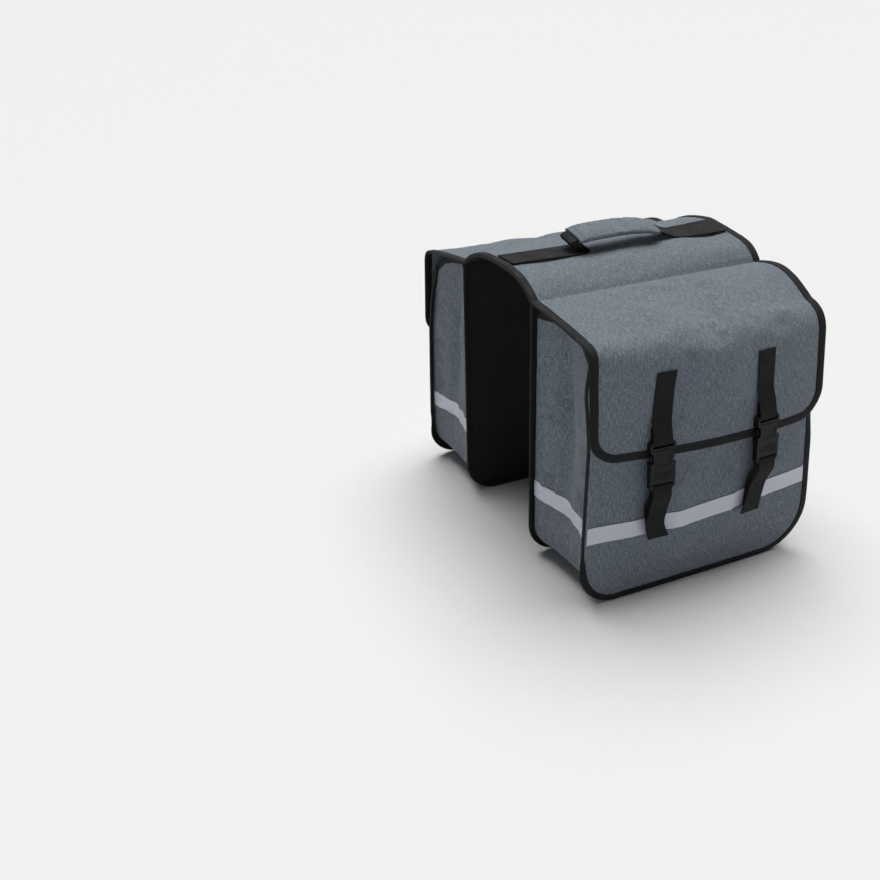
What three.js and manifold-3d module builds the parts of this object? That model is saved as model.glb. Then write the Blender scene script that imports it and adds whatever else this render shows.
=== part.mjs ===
// Double bicycle pannier: two bags with buckled flaps, joined by a bridge with a carry strap.
// Millimetres, +Z up. X runs along the bags, Y across them, and the bags stand on Z = 0.
// One bag is worked out with its depth along -Y. The other is its mirror image.
import * as THREE from "three";
import { mergeVertices } from "three/addons/utils/BufferGeometryUtils.js";
import Module from "manifold-3d";

const wasm = await Module();
wasm.setup();

// Bag
const bagLength = 327;
const bagDepth = 131;
const hingeHeight = 342;
const rackGap = 182;
const mouthDrop = 37;
const mouthDepth = 116;
const taperStart = 200;
const frontCrown = 12;
const crownPower = 2.4;
const frontCornerRadius = 46;
const rearCornerRadius = 62;
const rearSettle = 12;
const gussetPinch = 7;
const bottomSag = 2;

// Cloth, board, tape and webbing
const clothThickness = 1.5;
const boardThickness = 2;
const liningThickness = 1;
const tapeThickness = 0.8;
const webbingThickness = 1.4;
const strapThickness = 2;
const stripeThickness = 0.5;
const clearance = 0.3;
const webbingClearance = 0.5;
const buckleClearance = 0.4;

// Bound seams: the front flange leans back from the front panel
const flangeWidth = 10;
const flangeLean = THREE.MathUtils.degToRad(25);
const mouthTapeWidth = 10;
const legTrim = 1.5;
const wallInset = 1.6;
const frontSeamTrim = 4;

// Flap
const hemHeight = 187;
const flapStart = 0.8;
const flapTapeWidth = 11;
const flapFrontRadius = 23;
const flapRearRadius = 40;

// Reflective stripe
const stripeHeight = 89;
const stripeWidth = 22;

// Closures
const closureSpacing = 141;
const closureShift = -4.5;
const webbingWidth = 25;
const closureTop = 290;
const buckleHeight = 184;
const anchorEnd = 92;

// Buckle
const buckleWidth = 32.4;
const buckleThickness = 8.6;
const buckleReach = 29;
const buckleMouth = -3;
const buckleCorner = 3;
const barHeight = 4;
const barThickness = 3;
const slotHeight = 3.2;
const slotSlack = 1;
const socketWall = 2.1;
const windowBottom = 5;
const windowTop = 15;
const windowDepth = 3.6;
const windowSlope = 2;
const socketEnd = 17.5;
const plugThickness = 7;
const prongGap = 0.4;
const prongWidth = 3.4;
const prongRoot = 1;
const buttonRecess = 0.6;
const tipSlope = 0.8;
const tongueWidth = 6;

// Bridge, carry strap and handle
const bridgeInset = 1.2;
const bridgeTapeWidth = 10;
const carryStrapWidth = 38;
const handleWidth = 28;
const handleRise = 22;
const sleeveWidth = 36;
const sleeveThickness = 9;
const sleeveCorner = 2.6;

// Steps of the faceted surfaces
const cornerSteps = 4;
const bottomSteps = 8;
const bridgeSteps = 8;
const flapTopSteps = 12;
const flapBendSteps = 10;

// Front and rear lines of the body: a share of half the length, by share of the mouth height
const SIDE_LINES = [
  { up: 0, front: 1, rear: 1 },
  { up: 0.2, front: 1.015, rear: 1.015 },
  { up: 0.4, front: 1.01, rear: 0.985 },
  { up: 0.62, front: 1, rear: 0.945 },
  { up: 1, front: 0.985, rear: 0.93 },
];

// Fullness of the front panel: a share of its crown, by share of the mouth height
const CROWN_LINES = [
  { up: 0, fullness: 0 },
  { up: 0.12, fullness: 0.35 },
  { up: 0.3, fullness: 0.85 },
  { up: 0.55, fullness: 1 },
  { up: 0.8, fullness: 0.95 },
  { up: 1, fullness: 0.8 },
];

// Folds of the side gusset from back to front: place as a share of the depth, top edge as a share
// of the height from mouth to hinge, and how far the fold is drawn in as a share of the pinch
const GUSSET_FOLDS = [
  { depth: 0, top: 0.51, pinch: 0 },
  { depth: 0.22, top: 0.68, pinch: 0.5 },
  { depth: 0.45, top: 0.63, pinch: 0.85 },
  { depth: 0.62, top: 0.65, pinch: 1 },
  { depth: 0.78, top: 0.46, pinch: 0.5 },
  { depth: 0.9, top: 0.12, pinch: 0.18 },
  { depth: 1, top: 0, pinch: 0 },
];

// How far the gusset is drawn in up its height, by share of the mouth height
const PINCH_LINES = [
  { up: 0, pull: 0 },
  { up: 0.25, pull: 0.5 },
  { up: 0.6, pull: 1 },
  { up: 1, pull: 0.8 },
];

// Flap sections from front to rear: depth of the bend's corner and of the hem as shares of the bag
// depth, corner height and bend length as shares of the hinge height, and the arch of the top
const FLAP_SECTIONS = {
  front: { cornerDepth: 0.97, hemDepth: 1.042, cornerHeight: 0.953, bend: 0.044, arch: 0.003 },
  middle: { cornerDepth: 1.031, hemDepth: 1.126, cornerHeight: 0.942, bend: 0.099, arch: 0.018 },
  rear: { cornerDepth: 0.924, hemDepth: 1.036, cornerHeight: 0.924, bend: 0.076, arch: 0.041 },
};

// Rows of the flap, as shares of its length up from the hem
const FLAP_ROWS = [1, 0.87, 0.74, 0.64, 0.575, 0.52, 0.46, 0.37];

// Body rows above the stripe, as shares of the mouth height
const BODY_ROWS = [1, 0.86, 0.715, 0.555];

// Bridge sections: rise of the crown above the hinge, as a share of half the rack gap, and squareness
const BRIDGE_SECTIONS = [
  { along: -1, rise: 0.275, squareness: 3.2 },
  { along: 0, rise: 0.275, squareness: 3.6 },
  { along: 1, rise: 0.36, squareness: 4.5 },
];

// Columns of the bridge across its half width
const BRIDGE_COLUMNS = [1, 0.97, 0.9, 0.79, 0.62, 0.34];

// Carry strap from front to rear: place as a share of half the length, height above the bridge as a
// share of the handle's rise, and how much of the width is folded in. The front end of the handle
// is folded back over its foot, and the rear end runs down straight.
const STRAP_PATH = [
  { along: -0.62, rise: 0, fold: 0 },
  { along: -0.4, rise: 0, fold: 0.2 },
  { along: -0.31, rise: 0.03, fold: 0.6 },
  { along: -0.275, rise: 0.12, fold: 0.9 },
  { along: -0.29, rise: 0.27, fold: 1 },
  { along: -0.36, rise: 0.38, fold: 1 },
  { along: -0.42, rise: 0.52, fold: 1 },
  { along: -0.43, rise: 0.68, fold: 1 },
  { along: -0.385, rise: 0.82, fold: 1 },
  { along: -0.29, rise: 0.92, fold: 1, sleeve: true },
  { along: -0.16, rise: 0.98, fold: 1, sleeve: true },
  { along: -0.02, rise: 1, fold: 1, sleeve: true },
  { along: 0.12, rise: 0.96, fold: 1, sleeve: true },
  { along: 0.25, rise: 0.86, fold: 1, sleeve: true },
  { along: 0.36, rise: 0.69, fold: 1, sleeve: true },
  { along: 0.44, rise: 0.45, fold: 1 },
  { along: 0.5, rise: 0.19, fold: 0.9 },
  { along: 0.56, rise: 0.04, fold: 0.6 },
  { along: 0.64, rise: 0, fold: 0.2 },
  { along: 0.78, rise: 0, fold: 0 },
];

// The two closures of a bag: the loose tail of each drifts sideways
const CLOSURES = [
  { number: 1, side: -0.5, tailDrift: 1 },
  { number: 2, side: 0.5, tailDrift: -5 },
];

// Webbing on the flap: place from its top end to the buckle
const FLAP_WEBBING = [{ down: 0 }, { down: 0.3 }];

// Webbing between the flap and the socket's bar, in the buckle's frame: offset outward and height
const SOCKET_LEAD = [
  { out: -0.6, height: 47 },
  { out: 2, height: 35 },
];
const SOCKET_RETURN = [
  { out: -3.1, height: 36 },
  { out: -3.2, height: 45 },
];
const webbingLeaves = 64;

// Webbing round a bar: offset as a share of its lift, and place as a share of the bar's height
const BAR_TURN = [
  { out: 1, up: 0.9 },
  { out: 0.8, up: 0.2 },
  { out: 0, up: 0 },
  { out: -0.8, up: 0.2 },
  { out: -1, up: 0.9 },
];

// Webbing on the front panel: height above the seam's end, distance off the panel, share of the
// tail's drift and share of the width
const ANCHOR_WEBBING = [
  { up: -12, off: 0 },
  { up: 14, off: 0 },
  { up: 36, off: 0.6 },
];
const PLUG_LEAD = { out: -5.2, height: -37 };
const PLUG_RETURN = { out: 3.2, height: -37 };
const TAIL_WEBBING = [
  { up: 36, off: 4.5, drift: 0.4, flare: 1 },
  { up: 14, off: 1.6, drift: 0.8, flare: 1 },
  { up: -8, off: 1.2, drift: 1, flare: 1.06 },
];

// Sizes that follow from the ones above
const mouthHeight = hingeHeight - mouthDrop;
const halfLength = bagLength / 2;
const halfGap = rackGap / 2;
const tapeOver = clearance + tapeThickness;
const clothTapeHalf = clothThickness / 2 + tapeOver;
const boardTapeHalf = boardThickness / 2 + tapeOver;
const seamInset = (flangeWidth + tapeOver) * Math.cos(flangeLean) + clothTapeHalf * Math.sin(flangeLean);
const stripeTop = stripeHeight + stripeWidth;
const stripeLift = clothThickness / 2 + clearance + stripeThickness / 2;
const clothWebbingLift = (clothThickness + webbingThickness) / 2 + webbingClearance;
const backHeight = hingeHeight - boardTapeHalf - webbingClearance;
const bridgeHalf = halfLength - tapeOver;
const liningLift = -(clothThickness + liningThickness) / 2 - clearance;

const fabricLook = { color: 0x7f8c99, roughness: 0.9, metalness: 0 };
const tapeLook = { color: 0x1c1d1f, roughness: 0.8, metalness: 0 };
const plasticLook = { color: 0x161618, roughness: 0.45, metalness: 0 };
const boardLook = { color: 0x18191b, roughness: 0.9, metalness: 0 };
const reflectorLook = { color: 0xb9bccb, roughness: 0.35, metalness: 0.2 };

const lerp = THREE.MathUtils.lerp;
const clamp = THREE.MathUtils.clamp;

// One column of a table, read at a value of its key column
function readTable(table, key, column, value) {
  const last = table.length - 1;
  let row = 0;
  while (row < last - 1 && value > table[row + 1][key]) {
    row += 1;
  }
  const from = table[row];
  const to = table[row + 1];
  const share = clamp((value - from[key]) / (to[key] - from[key]), 0, 1);
  return lerp(from[column], to[column], THREE.MathUtils.smoothstep(share, 0, 1));
}

function named(name, geometry, look) {
  const mesh = new THREE.Mesh(geometry, new THREE.MeshStandardMaterial(look));
  mesh.name = name;
  return mesh;
}

function triangleGeometry(points, triangles) {
  const geometry = new THREE.BufferGeometry();
  geometry.setAttribute(
    "position",
    new THREE.Float32BufferAttribute(points.flatMap((p) => p.toArray()), 3),
  );
  geometry.setIndex(triangles);
  return geometry;
}

function splitQuads(quads) {
  return quads.flatMap(([a, b, c, d]) => [a, b, c, a, c, d]);
}

// The outward direction at each point of a mesh of quads that run counter-clockwise from outside
function quadNormals(points, quads) {
  const normals = points.map(() => new THREE.Vector3());
  for (const quad of quads) {
    const [a, b, c, d] = quad.map((index) => points[index]);
    const normal = c.clone().sub(a).cross(d.clone().sub(b)).normalize();
    quad.forEach((index) => normals[index].add(normal));
  }
  return normals.map((normal) => normal.normalize());
}

// A closed solid of even thickness about a mesh of quads, moved outward by lift
function sheet(points, quads, thickness, lift = 0) {
  const normals = quadNormals(points, quads);
  const used = [...new Set(quads.flat())];
  const place = new Map(used.map((index, order) => [index, order]));
  const outer = used.map((i) => points[i].clone().addScaledVector(normals[i], lift + thickness / 2));
  const inner = used.map((i) => points[i].clone().addScaledVector(normals[i], lift - thickness / 2));
  const count = used.length;
  const faces = quads.map((quad) => quad.map((index) => place.get(index)));
  const sides = new Set();
  for (const face of faces) {
    face.forEach((from, corner) => sides.add(`${from} ${face[(corner + 1) % 4]}`));
  }
  const rim = [];
  for (const face of faces) {
    face.forEach((from, corner) => {
      const to = face[(corner + 1) % 4];
      if (!sides.has(`${to} ${from}`)) {
        rim.push([to, from, from + count, to + count]);
      }
    });
  }
  const back = splitQuads(faces).map((index) => index + count).reverse();
  return triangleGeometry([...outer, ...inner], [...splitQuads(faces), ...back, ...splitQuads(rim)]);
}

// Quads between neighbouring rows of points, counter-clockwise where rows run down and points right
function gridQuads(rowCount, columnCount, at) {
  const quads = [];
  for (let r = 0; r < rowCount - 1; r += 1) {
    for (let c = 0; c < columnCount - 1; c += 1) {
      quads.push([at(r + 1, c), at(r + 1, c + 1), at(r, c + 1), at(r, c)]);
    }
  }
  return quads;
}

function gridSheet(rows, thickness, lift = 0) {
  const columns = rows[0].length;
  const quads = gridQuads(rows.length, columns, (r, c) => r * columns + c);
  return sheet(rows.flat(), quads, thickness, lift);
}

// Closed sections joined one to the next, with capped ends. A cap is a list of quads of one section.
// The sides listed as turned are split along their other diagonal.
function sweptSections(sections, cap, turned) {
  const size = sections[0].length;
  const quads = [];
  for (let k = 0; k < sections.length - 1; k += 1) {
    for (let i = 0; i < size; i += 1) {
      const next = (i + 1) % size;
      const [here, there] = [k * size, (k + 1) * size];
      const quad = [here + i, here + next, there + next, there + i];
      quads.push(turned.includes(i) ? [...quad.slice(1), quad[0]] : quad);
    }
  }
  const end = (sections.length - 1) * size;
  const startCap = cap.map((quad) => [...quad].reverse());
  const endCap = cap.map((quad) => quad.map((index) => index + end));
  return triangleGeometry(sections.flat(), splitQuads([...quads, ...startCap, ...endCap]));
}

// Binding tape folded over the edge of a sheet, from its edge points and the points its legs reach
function foldedTape(edge, reach, sheetThickness, lift = 0) {
  const count = edge.length;
  const bandQuads = gridQuads(2, count, (r, c) => (r === 0 ? count + c : c));
  const normals = quadNormals([...edge, ...reach], bandQuads);
  const inside = sheetThickness / 2 + clearance;
  const outside = inside + tapeThickness;
  const sections = edge.map((point, k) => {
    const normal = normals[k].clone().add(normals[count + k]).normalize();
    const inward = reach[k].clone().sub(point);
    const leg = inward.length() - legTrim;
    inward.normalize();
    const corner = (along, out) =>
      point.clone().addScaledVector(inward, along).addScaledVector(normal, lift + out);
    return [
      corner(leg, outside),
      corner(-tapeOver, outside),
      corner(-tapeOver, -outside),
      corner(leg, -outside),
      corner(leg, -inside),
      corner(-clearance, -inside),
      corner(-clearance, inside),
      corner(leg, inside),
    ];
  });
  const cap = [
    [0, 1, 6, 7],
    [1, 2, 5, 6],
    [2, 3, 4, 5],
  ];
  const towardsEdge = [0, 4];
  return sweptSections(sections, cap, towardsEdge);
}

// A flat strap along a path, with its width direction and width at each point
function ribbon(path, thickness) {
  const rows = [-0.5, 0.5].map((side) =>
    path.map(({ point, across, width }) => point.clone().addScaledVector(across, side * width)),
  );
  return gridSheet(rows, thickness);
}

// Stations of a U-shaped outline, open at the top, in a plane of x and height. They run down the
// front side, round both corners and up the rear side, each with its outward direction.
function uOutline({ half, frontRadius, rearRadius, levels }, inset) {
  const stations = [];
  const add = (x, z, outX, outZ) => stations.push({ x, z, outX, outZ });
  const corner = (side, radius) => {
    for (let i = 0; i <= cornerSteps; i += 1) {
      const share = side < 0 ? i / cornerSteps : 1 - i / cornerSteps;
      const angle = (share * Math.PI) / 2;
      const outX = side * Math.cos(angle);
      const outZ = -Math.sin(angle);
      const centre = side * (half - radius);
      add(centre + outX * (radius - inset), radius + outZ * (radius - inset), outX, outZ);
    }
  };
  levels.forEach((level) => add(-half + inset, level, -1, 0));
  corner(-1, frontRadius);
  for (let i = 1; i < bottomSteps; i += 1) {
    add(lerp(-half + frontRadius, half - rearRadius, i / bottomSteps), inset, 0, -1);
  }
  corner(1, rearRadius);
  [...levels].reverse().forEach((level) => add(half - inset, level, 1, 0));
  return stations;
}

// A mesh inside a U outline: rows across from side to side, and a band from them to the edge points
function uPatch(inner, edge, pointAt) {
  const last = inner.length - 1;
  const rowCount = (inner.length + 1 - bottomSteps) / 2;
  const columnCount = bottomSteps + 1;
  const cell = (r, c) => r * columnCount + c;
  const points = [];
  for (let r = 0; r < rowCount; r += 1) {
    for (let c = 0; c < columnCount; c += 1) {
      const from = inner[r];
      const to = inner[last - r];
      const share = c / bottomSteps;
      points.push(pointAt(lerp(from.x, to.x, share), lerp(from.z, to.z, share)));
    }
  }
  const rim = inner.map((station, k) => {
    if (k < rowCount) {
      return cell(k, 0);
    }
    return k > last - rowCount ? cell(last - k, bottomSteps) : cell(rowCount - 1, k - rowCount + 1);
  });
  const quads = gridQuads(rowCount, columnCount, cell);
  const edgeStart = points.length;
  for (let k = 0; k < last; k += 1) {
    quads.push([edgeStart + k, edgeStart + k + 1, rim[k + 1], rim[k]]);
  }
  const seam = rim.map((index) => points[index]);
  return { points: [...points, ...edge], quads, seam, cell };
}

// Body surface: x drawn to the side lines and the rear top let down, both by share of the depth
function bodyPoint(x, z, depth) {
  const share = clamp(depth / bagDepth, 0, 1);
  const up = z / mouthHeight;
  const line = readTable(SIDE_LINES, "up", x < 0 ? "front" : "rear", up);
  const settled = rearSettle * clamp((z - taperStart) / (mouthHeight - taperStart), 0, 1);
  const rearward = clamp((x / halfLength + 1) / 2, 0, 1);
  return new THREE.Vector3(x * lerp(1, line, share), -depth, z - settled * rearward * share);
}

function edgeDepth(z) {
  return lerp(bagDepth, mouthDepth, THREE.MathUtils.smoothstep(z, taperStart, mouthHeight));
}

// How full the middle of a panel is at x, from 0 at the seams to 1 in the middle
function fullness(x) {
  return 1 - clamp(Math.abs(x) / (halfLength - seamInset), 0, 1) ** crownPower;
}

function panelDepth(x, z) {
  const crown = frontCrown * readTable(CROWN_LINES, "up", "fullness", z / mouthHeight);
  return edgeDepth(z) + crown * fullness(x);
}

function panelPoint(x, z) {
  return bodyPoint(x, z, panelDepth(x, z));
}

const bodyFrame = {
  half: halfLength,
  frontRadius: frontCornerRadius,
  rearRadius: rearCornerRadius,
  levels: [...BODY_ROWS.map((share) => share * mouthHeight), stripeTop, stripeHeight],
};
const stripeRow = BODY_ROWS.length;

function makeBackPanel(side) {
  const outline = uOutline({ ...bodyFrame, levels: [backHeight] }, tapeOver);
  const shape = new THREE.Shape(outline.map(({ x, z }) => new THREE.Vector2(x, z)));
  const geometry = new THREE.ExtrudeGeometry(shape, { depth: boardThickness, bevelEnabled: false });
  geometry.rotateX(Math.PI / 2);
  geometry.translate(0, boardThickness / 2, 0);
  return named(`${side}_back_panel`, geometry, boardLook);
}

function makeBackBinding(side) {
  const frame = { ...bodyFrame, levels: [backHeight] };
  const toBack = ({ x, z }) => new THREE.Vector3(x, 0, z);
  const edge = uOutline(frame, tapeOver).map(toBack);
  const reach = uOutline(frame, seamInset).map(toBack);
  return named(`${side}_back_binding`, foldedTape(edge, reach, boardThickness), tapeLook);
}

// The front panel: its flange runs on past the seam, leaning back
function makeFrontPatch() {
  const seam = uOutline(bodyFrame, seamInset);
  const edge = seam.map(({ x, z, outX, outZ }) => {
    const outward = new THREE.Vector3(outX, 0, outZ).multiplyScalar(flangeWidth * Math.cos(flangeLean));
    const back = new THREE.Vector3(0, flangeWidth * Math.sin(flangeLean), 0);
    return panelPoint(x, z).add(outward).add(back);
  });
  return { ...uPatch(seam, edge, panelPoint), edge };
}

function makeFrontPanel(side, patch) {
  return named(`${side}_front_panel`, sheet(patch.points, patch.quads, clothThickness), fabricLook);
}

function makeFrontBinding(side, patch) {
  return named(`${side}_front_binding`, foldedTape(patch.edge, patch.seam, clothThickness), tapeLook);
}

function makeFrontStripe(side, patch) {
  const quads = [];
  for (let c = 0; c < bottomSteps; c += 1) {
    const [upper, lower] = [stripeRow, stripeRow + 1];
    quads.push([patch.cell(lower, c), patch.cell(lower, c + 1), patch.cell(upper, c + 1), patch.cell(upper, c)]);
  }
  const geometry = sheet(patch.points, quads, stripeThickness, stripeLift);
  return named(`${side}_front_reflector`, geometry, reflectorLook);
}

// Gusset points: one row for each station of the outline, one column for each fold
function makeGussetRows() {
  const backEdge = boardTapeHalf + clearance;
  const frontEdge = clothThickness / 2 + 2 * clearance;
  const stations = uOutline(bodyFrame, seamInset + wallInset);
  const last = stations.length - 1;
  return stations.map((station, k) => {
    const pull = readTable(PINCH_LINES, "up", "pull", station.z / mouthHeight);
    const onBottom = Math.max(0, -station.outZ) ** 2;
    return GUSSET_FOLDS.map((fold) => {
      const depth = lerp(backEdge, edgeDepth(station.z) - frontEdge, fold.depth);
      const drawn = fold.pinch * (gussetPinch * pull * (1 - onBottom) - bottomSag * onBottom);
      const isTop = k === 0 || k === last;
      const z = isTop ? lerp(mouthHeight, hingeHeight, fold.top) : station.z;
      const point = bodyPoint(station.x, z, depth);
      return point.sub(new THREE.Vector3(station.outX, 0, station.outZ).multiplyScalar(drawn));
    });
  });
}

function makeGusset(side, rows) {
  return named(`${side}_gusset`, gridSheet(rows, clothThickness), fabricLook);
}

// A row of gusset points from the back seam to short of the front seam's tape
function shortRow(row, trim) {
  const before = row[row.length - 2];
  const final = row[row.length - 1];
  const share = trim / final.distanceTo(before);
  return [...row.slice(0, -1), final.clone().lerp(before, share)];
}

// Tape over the open top of the gusset at one end of the bag
function makeMouthBinding(side, end, rows) {
  const atFront = end === "front";
  const top = atFront ? rows[0] : rows[rows.length - 1];
  const below = atFront ? rows[1] : rows[rows.length - 2];
  const reach = top.map((point, i) => {
    const down = below[i].clone().sub(point).setLength(mouthTapeWidth);
    return point.clone().add(down);
  });
  const order = (line) => (atFront ? line.reverse() : line);
  const lines = [top, reach].map((line) => order(shortRow(line, frontSeamTrim)));
  return named(`${side}_mouth_binding_${end}`, foldedTape(...lines, clothThickness), tapeLook);
}

function makeGussetStripe(side, end, rows) {
  const first = end === "front" ? stripeRow : rows.length - stripeRow - 2;
  const strip = rows.slice(first, first + 2).map((row) => shortRow(row, frontSeamTrim));
  const geometry = gridSheet(strip, stripeThickness, stripeLift);
  return named(`${side}_gusset_reflector_${end}`, geometry, reflectorLook);
}

// One value of the flap sections at x, full in the middle and its own at each end
function flapValue(column, x) {
  const end = x < 0 ? FLAP_SECTIONS.front : FLAP_SECTIONS.rear;
  return lerp(end[column], FLAP_SECTIONS.middle[column], fullness(x));
}

// Profile of the flap at x as points of depth and height from hinge to hem: arched top, bend, front
function flapProfile(x) {
  const start = new THREE.Vector2(flapStart, hingeHeight);
  const corner = new THREE.Vector2(
    flapValue("cornerDepth", x) * bagDepth,
    flapValue("cornerHeight", x) * hingeHeight,
  );
  const hem = new THREE.Vector2(flapValue("hemDepth", x) * bagDepth, hemHeight);
  const bend = flapValue("bend", x) * hingeHeight;
  const arch = flapValue("arch", x) * hingeHeight;
  const bendStart = corner.clone().add(start.clone().sub(corner).setLength(bend));
  const bendEnd = corner.clone().add(hem.clone().sub(corner).setLength(bend));
  const profile = [];
  for (let i = 0; i < flapTopSteps; i += 1) {
    const share = i / flapTopSteps;
    const point = start.clone().lerp(bendStart, share);
    point.y += arch * Math.sin(Math.PI * share);
    profile.push(point);
  }
  profile.push(...new THREE.QuadraticBezierCurve(bendStart, corner, bendEnd).getPoints(flapBendSteps));
  profile.push(hem);
  return profile;
}

function profileLength(profile) {
  return profile.slice(1).reduce((sum, point, i) => sum + point.distanceTo(profile[i]), 0);
}

const flapLength = profileLength(flapProfile(0));

// A point of the flap at x, and at a length up from the hem
function flapPoint(x, level) {
  const profile = flapProfile(x);
  let left = (1 - level / flapLength) * profileLength(profile);
  let i = 0;
  while (i < profile.length - 2 && left > profile[i].distanceTo(profile[i + 1])) {
    left -= profile[i].distanceTo(profile[i + 1]);
    i += 1;
  }
  const share = clamp(left / profile[i].distanceTo(profile[i + 1]), 0, 1);
  const at = profile[i].clone().lerp(profile[i + 1], share);
  return new THREE.Vector3(x, -at.x, at.y);
}

function makeFlapPatch() {
  const frame = {
    half: halfLength,
    frontRadius: flapFrontRadius,
    rearRadius: flapRearRadius,
    levels: FLAP_ROWS.map((share) => share * flapLength),
  };
  const edge = uOutline(frame, tapeOver).map(({ x, z }) => flapPoint(x, z));
  return { ...uPatch(uOutline(frame, tapeOver + flapTapeWidth), edge, flapPoint), edge };
}

function makeFlap(side, patch) {
  return named(`${side}_flap`, sheet(patch.points, patch.quads, clothThickness), fabricLook);
}

function makeFlapBinding(side, patch) {
  return named(`${side}_flap_binding`, foldedTape(patch.edge, patch.seam, clothThickness), tapeLook);
}

// The flat front of the flap at x: depth at a height, and its slopes along x and up
function flapFace(x, z) {
  const depthAt = (atX, atZ) => {
    const hemDepth = flapValue("hemDepth", atX) * bagDepth;
    const cornerDepth = flapValue("cornerDepth", atX) * bagDepth;
    const cornerHeight = flapValue("cornerHeight", atX) * hingeHeight;
    return lerp(hemDepth, cornerDepth, (atZ - hemHeight) / (cornerHeight - hemHeight));
  };
  const depth = depthAt(x, z);
  return { depth, alongX: depthAt(x + 1, z) - depth, upZ: depthAt(x, z + 1) - depth };
}

// Solids for booleans
function solidOf(geometry) {
  const bare = geometry.clone();
  bare.deleteAttribute("normal");
  bare.deleteAttribute("uv");
  const merged = bare.index ? mergeVertices(bare) : mergeVertices(bare, 1e-4);
  return new wasm.Manifold(
    new wasm.Mesh({
      numProp: 3,
      vertProperties: new Float32Array(merged.attributes.position.array),
      triVerts: new Uint32Array(merged.index.array),
    }),
  );
}

function geometryOf(solid) {
  const mesh = solid.getMesh();
  const geometry = new THREE.BufferGeometry();
  geometry.setAttribute("position", new THREE.BufferAttribute(mesh.vertProperties, 3));
  geometry.setIndex(new THREE.BufferAttribute(mesh.triVerts, 1));
  return geometry;
}

// A block from its low and high corners
function block(low, high) {
  const size = high.map((value, i) => value - low[i]);
  const geometry = new THREE.BoxGeometry(...size);
  geometry.translate(...low.map((value, i) => value + size[i] / 2));
  return solidOf(geometry);
}

// An outline of x and z, mirrored about x = 0, as a plate of the given thickness
function mirroredPlate(halfOutline, thickness) {
  const right = halfOutline.map(([x, z]) => new THREE.Vector2(x, z));
  const left = [...halfOutline].reverse().map(([x, z]) => new THREE.Vector2(-x, z));
  return plate([...right, ...left], thickness);
}

function plate(outline, thickness) {
  const geometry = new THREE.ExtrudeGeometry(new THREE.Shape(outline), {
    depth: thickness,
    bevelEnabled: false,
  });
  geometry.rotateX(Math.PI / 2);
  geometry.translate(0, thickness / 2, 0);
  return solidOf(geometry);
}

const slotHalf = (webbingWidth + slotSlack) / 2;
const buckleHalf = buckleWidth / 2;
const barInner = buckleReach - barHeight;

// The slot for the webbing at one end of the buckle, with the bar beyond it thinned on both faces
function cutWebbingSlot(solid, end, thickness) {
  const span = (from, to) => [Math.min(end * from, end * to), Math.max(end * from, end * to)];
  const [slotLow, slotHigh] = span(barInner - slotHeight, barInner);
  const [barLow, barHigh] = span(barInner - slotHeight, buckleReach + barHeight);
  const slot = block([-slotHalf, -thickness, slotLow], [slotHalf, thickness, slotHigh]);
  const near = block([-slotHalf, -thickness, barLow], [slotHalf, -barThickness / 2, barHigh]);
  const far = block([-slotHalf, barThickness / 2, barLow], [slotHalf, thickness, barHigh]);
  return solid.subtract(slot).subtract(near).subtract(far);
}

function makeSocketGeometry() {
  const shell = mirroredPlate(
    [
      [buckleHalf, buckleMouth],
      [buckleHalf, windowBottom - windowSlope],
      [buckleHalf - windowDepth, windowBottom],
      [buckleHalf - windowDepth, windowTop],
      [buckleHalf, windowTop + windowSlope],
      [buckleHalf, buckleReach - buckleCorner],
      [buckleHalf - buckleCorner, buckleReach],
    ],
    buckleThickness,
  );
  const roomX = buckleHalf - socketWall;
  const roomY = buckleThickness / 2 - socketWall;
  const room = block([-roomX, -roomY, buckleMouth - socketWall], [roomX, roomY, socketEnd]);
  return geometryOf(cutWebbingSlot(shell.subtract(room), 1, buckleThickness));
}

function makePlugGeometry() {
  const shoulder = buckleMouth - clearance;
  const base = mirroredPlate(
    [
      [buckleHalf - buckleCorner, -buckleReach],
      [buckleHalf, -buckleReach + buckleCorner],
      [buckleHalf, shoulder],
    ],
    plugThickness,
  );
  const prongThickness = buckleThickness - 2 * socketWall - 2 * prongGap;
  const outer = buckleHalf - socketWall - prongGap;
  const root = shoulder - prongRoot;
  const tip = windowTop - prongRoot;
  const prong = (side) =>
    plate(
      [
        [outer - prongWidth, root],
        [outer, root],
        [outer, windowBottom - prongGap],
        [buckleHalf - buttonRecess, windowBottom + windowSlope],
        [buckleHalf - buttonRecess, windowTop - windowSlope],
        [outer - tipSlope, tip],
        [outer - prongWidth, tip],
      ].map(([x, z]) => new THREE.Vector2(side * x, z)),
      prongThickness,
    );
  const tongue = block(
    [-tongueWidth / 2, -prongThickness / 2, root],
    [tongueWidth / 2, prongThickness / 2, tip],
  );
  return geometryOf(cutWebbingSlot(base, -1, plugThickness).add(prong(1)).add(prong(-1)).add(tongue));
}

// Path of webbing round a bar, in the buckle's own frame, as points of outward offset and height.
// It runs from the face side to the back, or the other way round.
function barTurn(end, fromFace) {
  const lift = barThickness / 2 + webbingThickness;
  const mid = barInner - slotHeight / 2;
  const turn = BAR_TURN.map(({ out, up }) => ({ out: out * lift, height: end * (mid + up * barHeight) }));
  return fromFace ? turn : turn.reverse();
}

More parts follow.
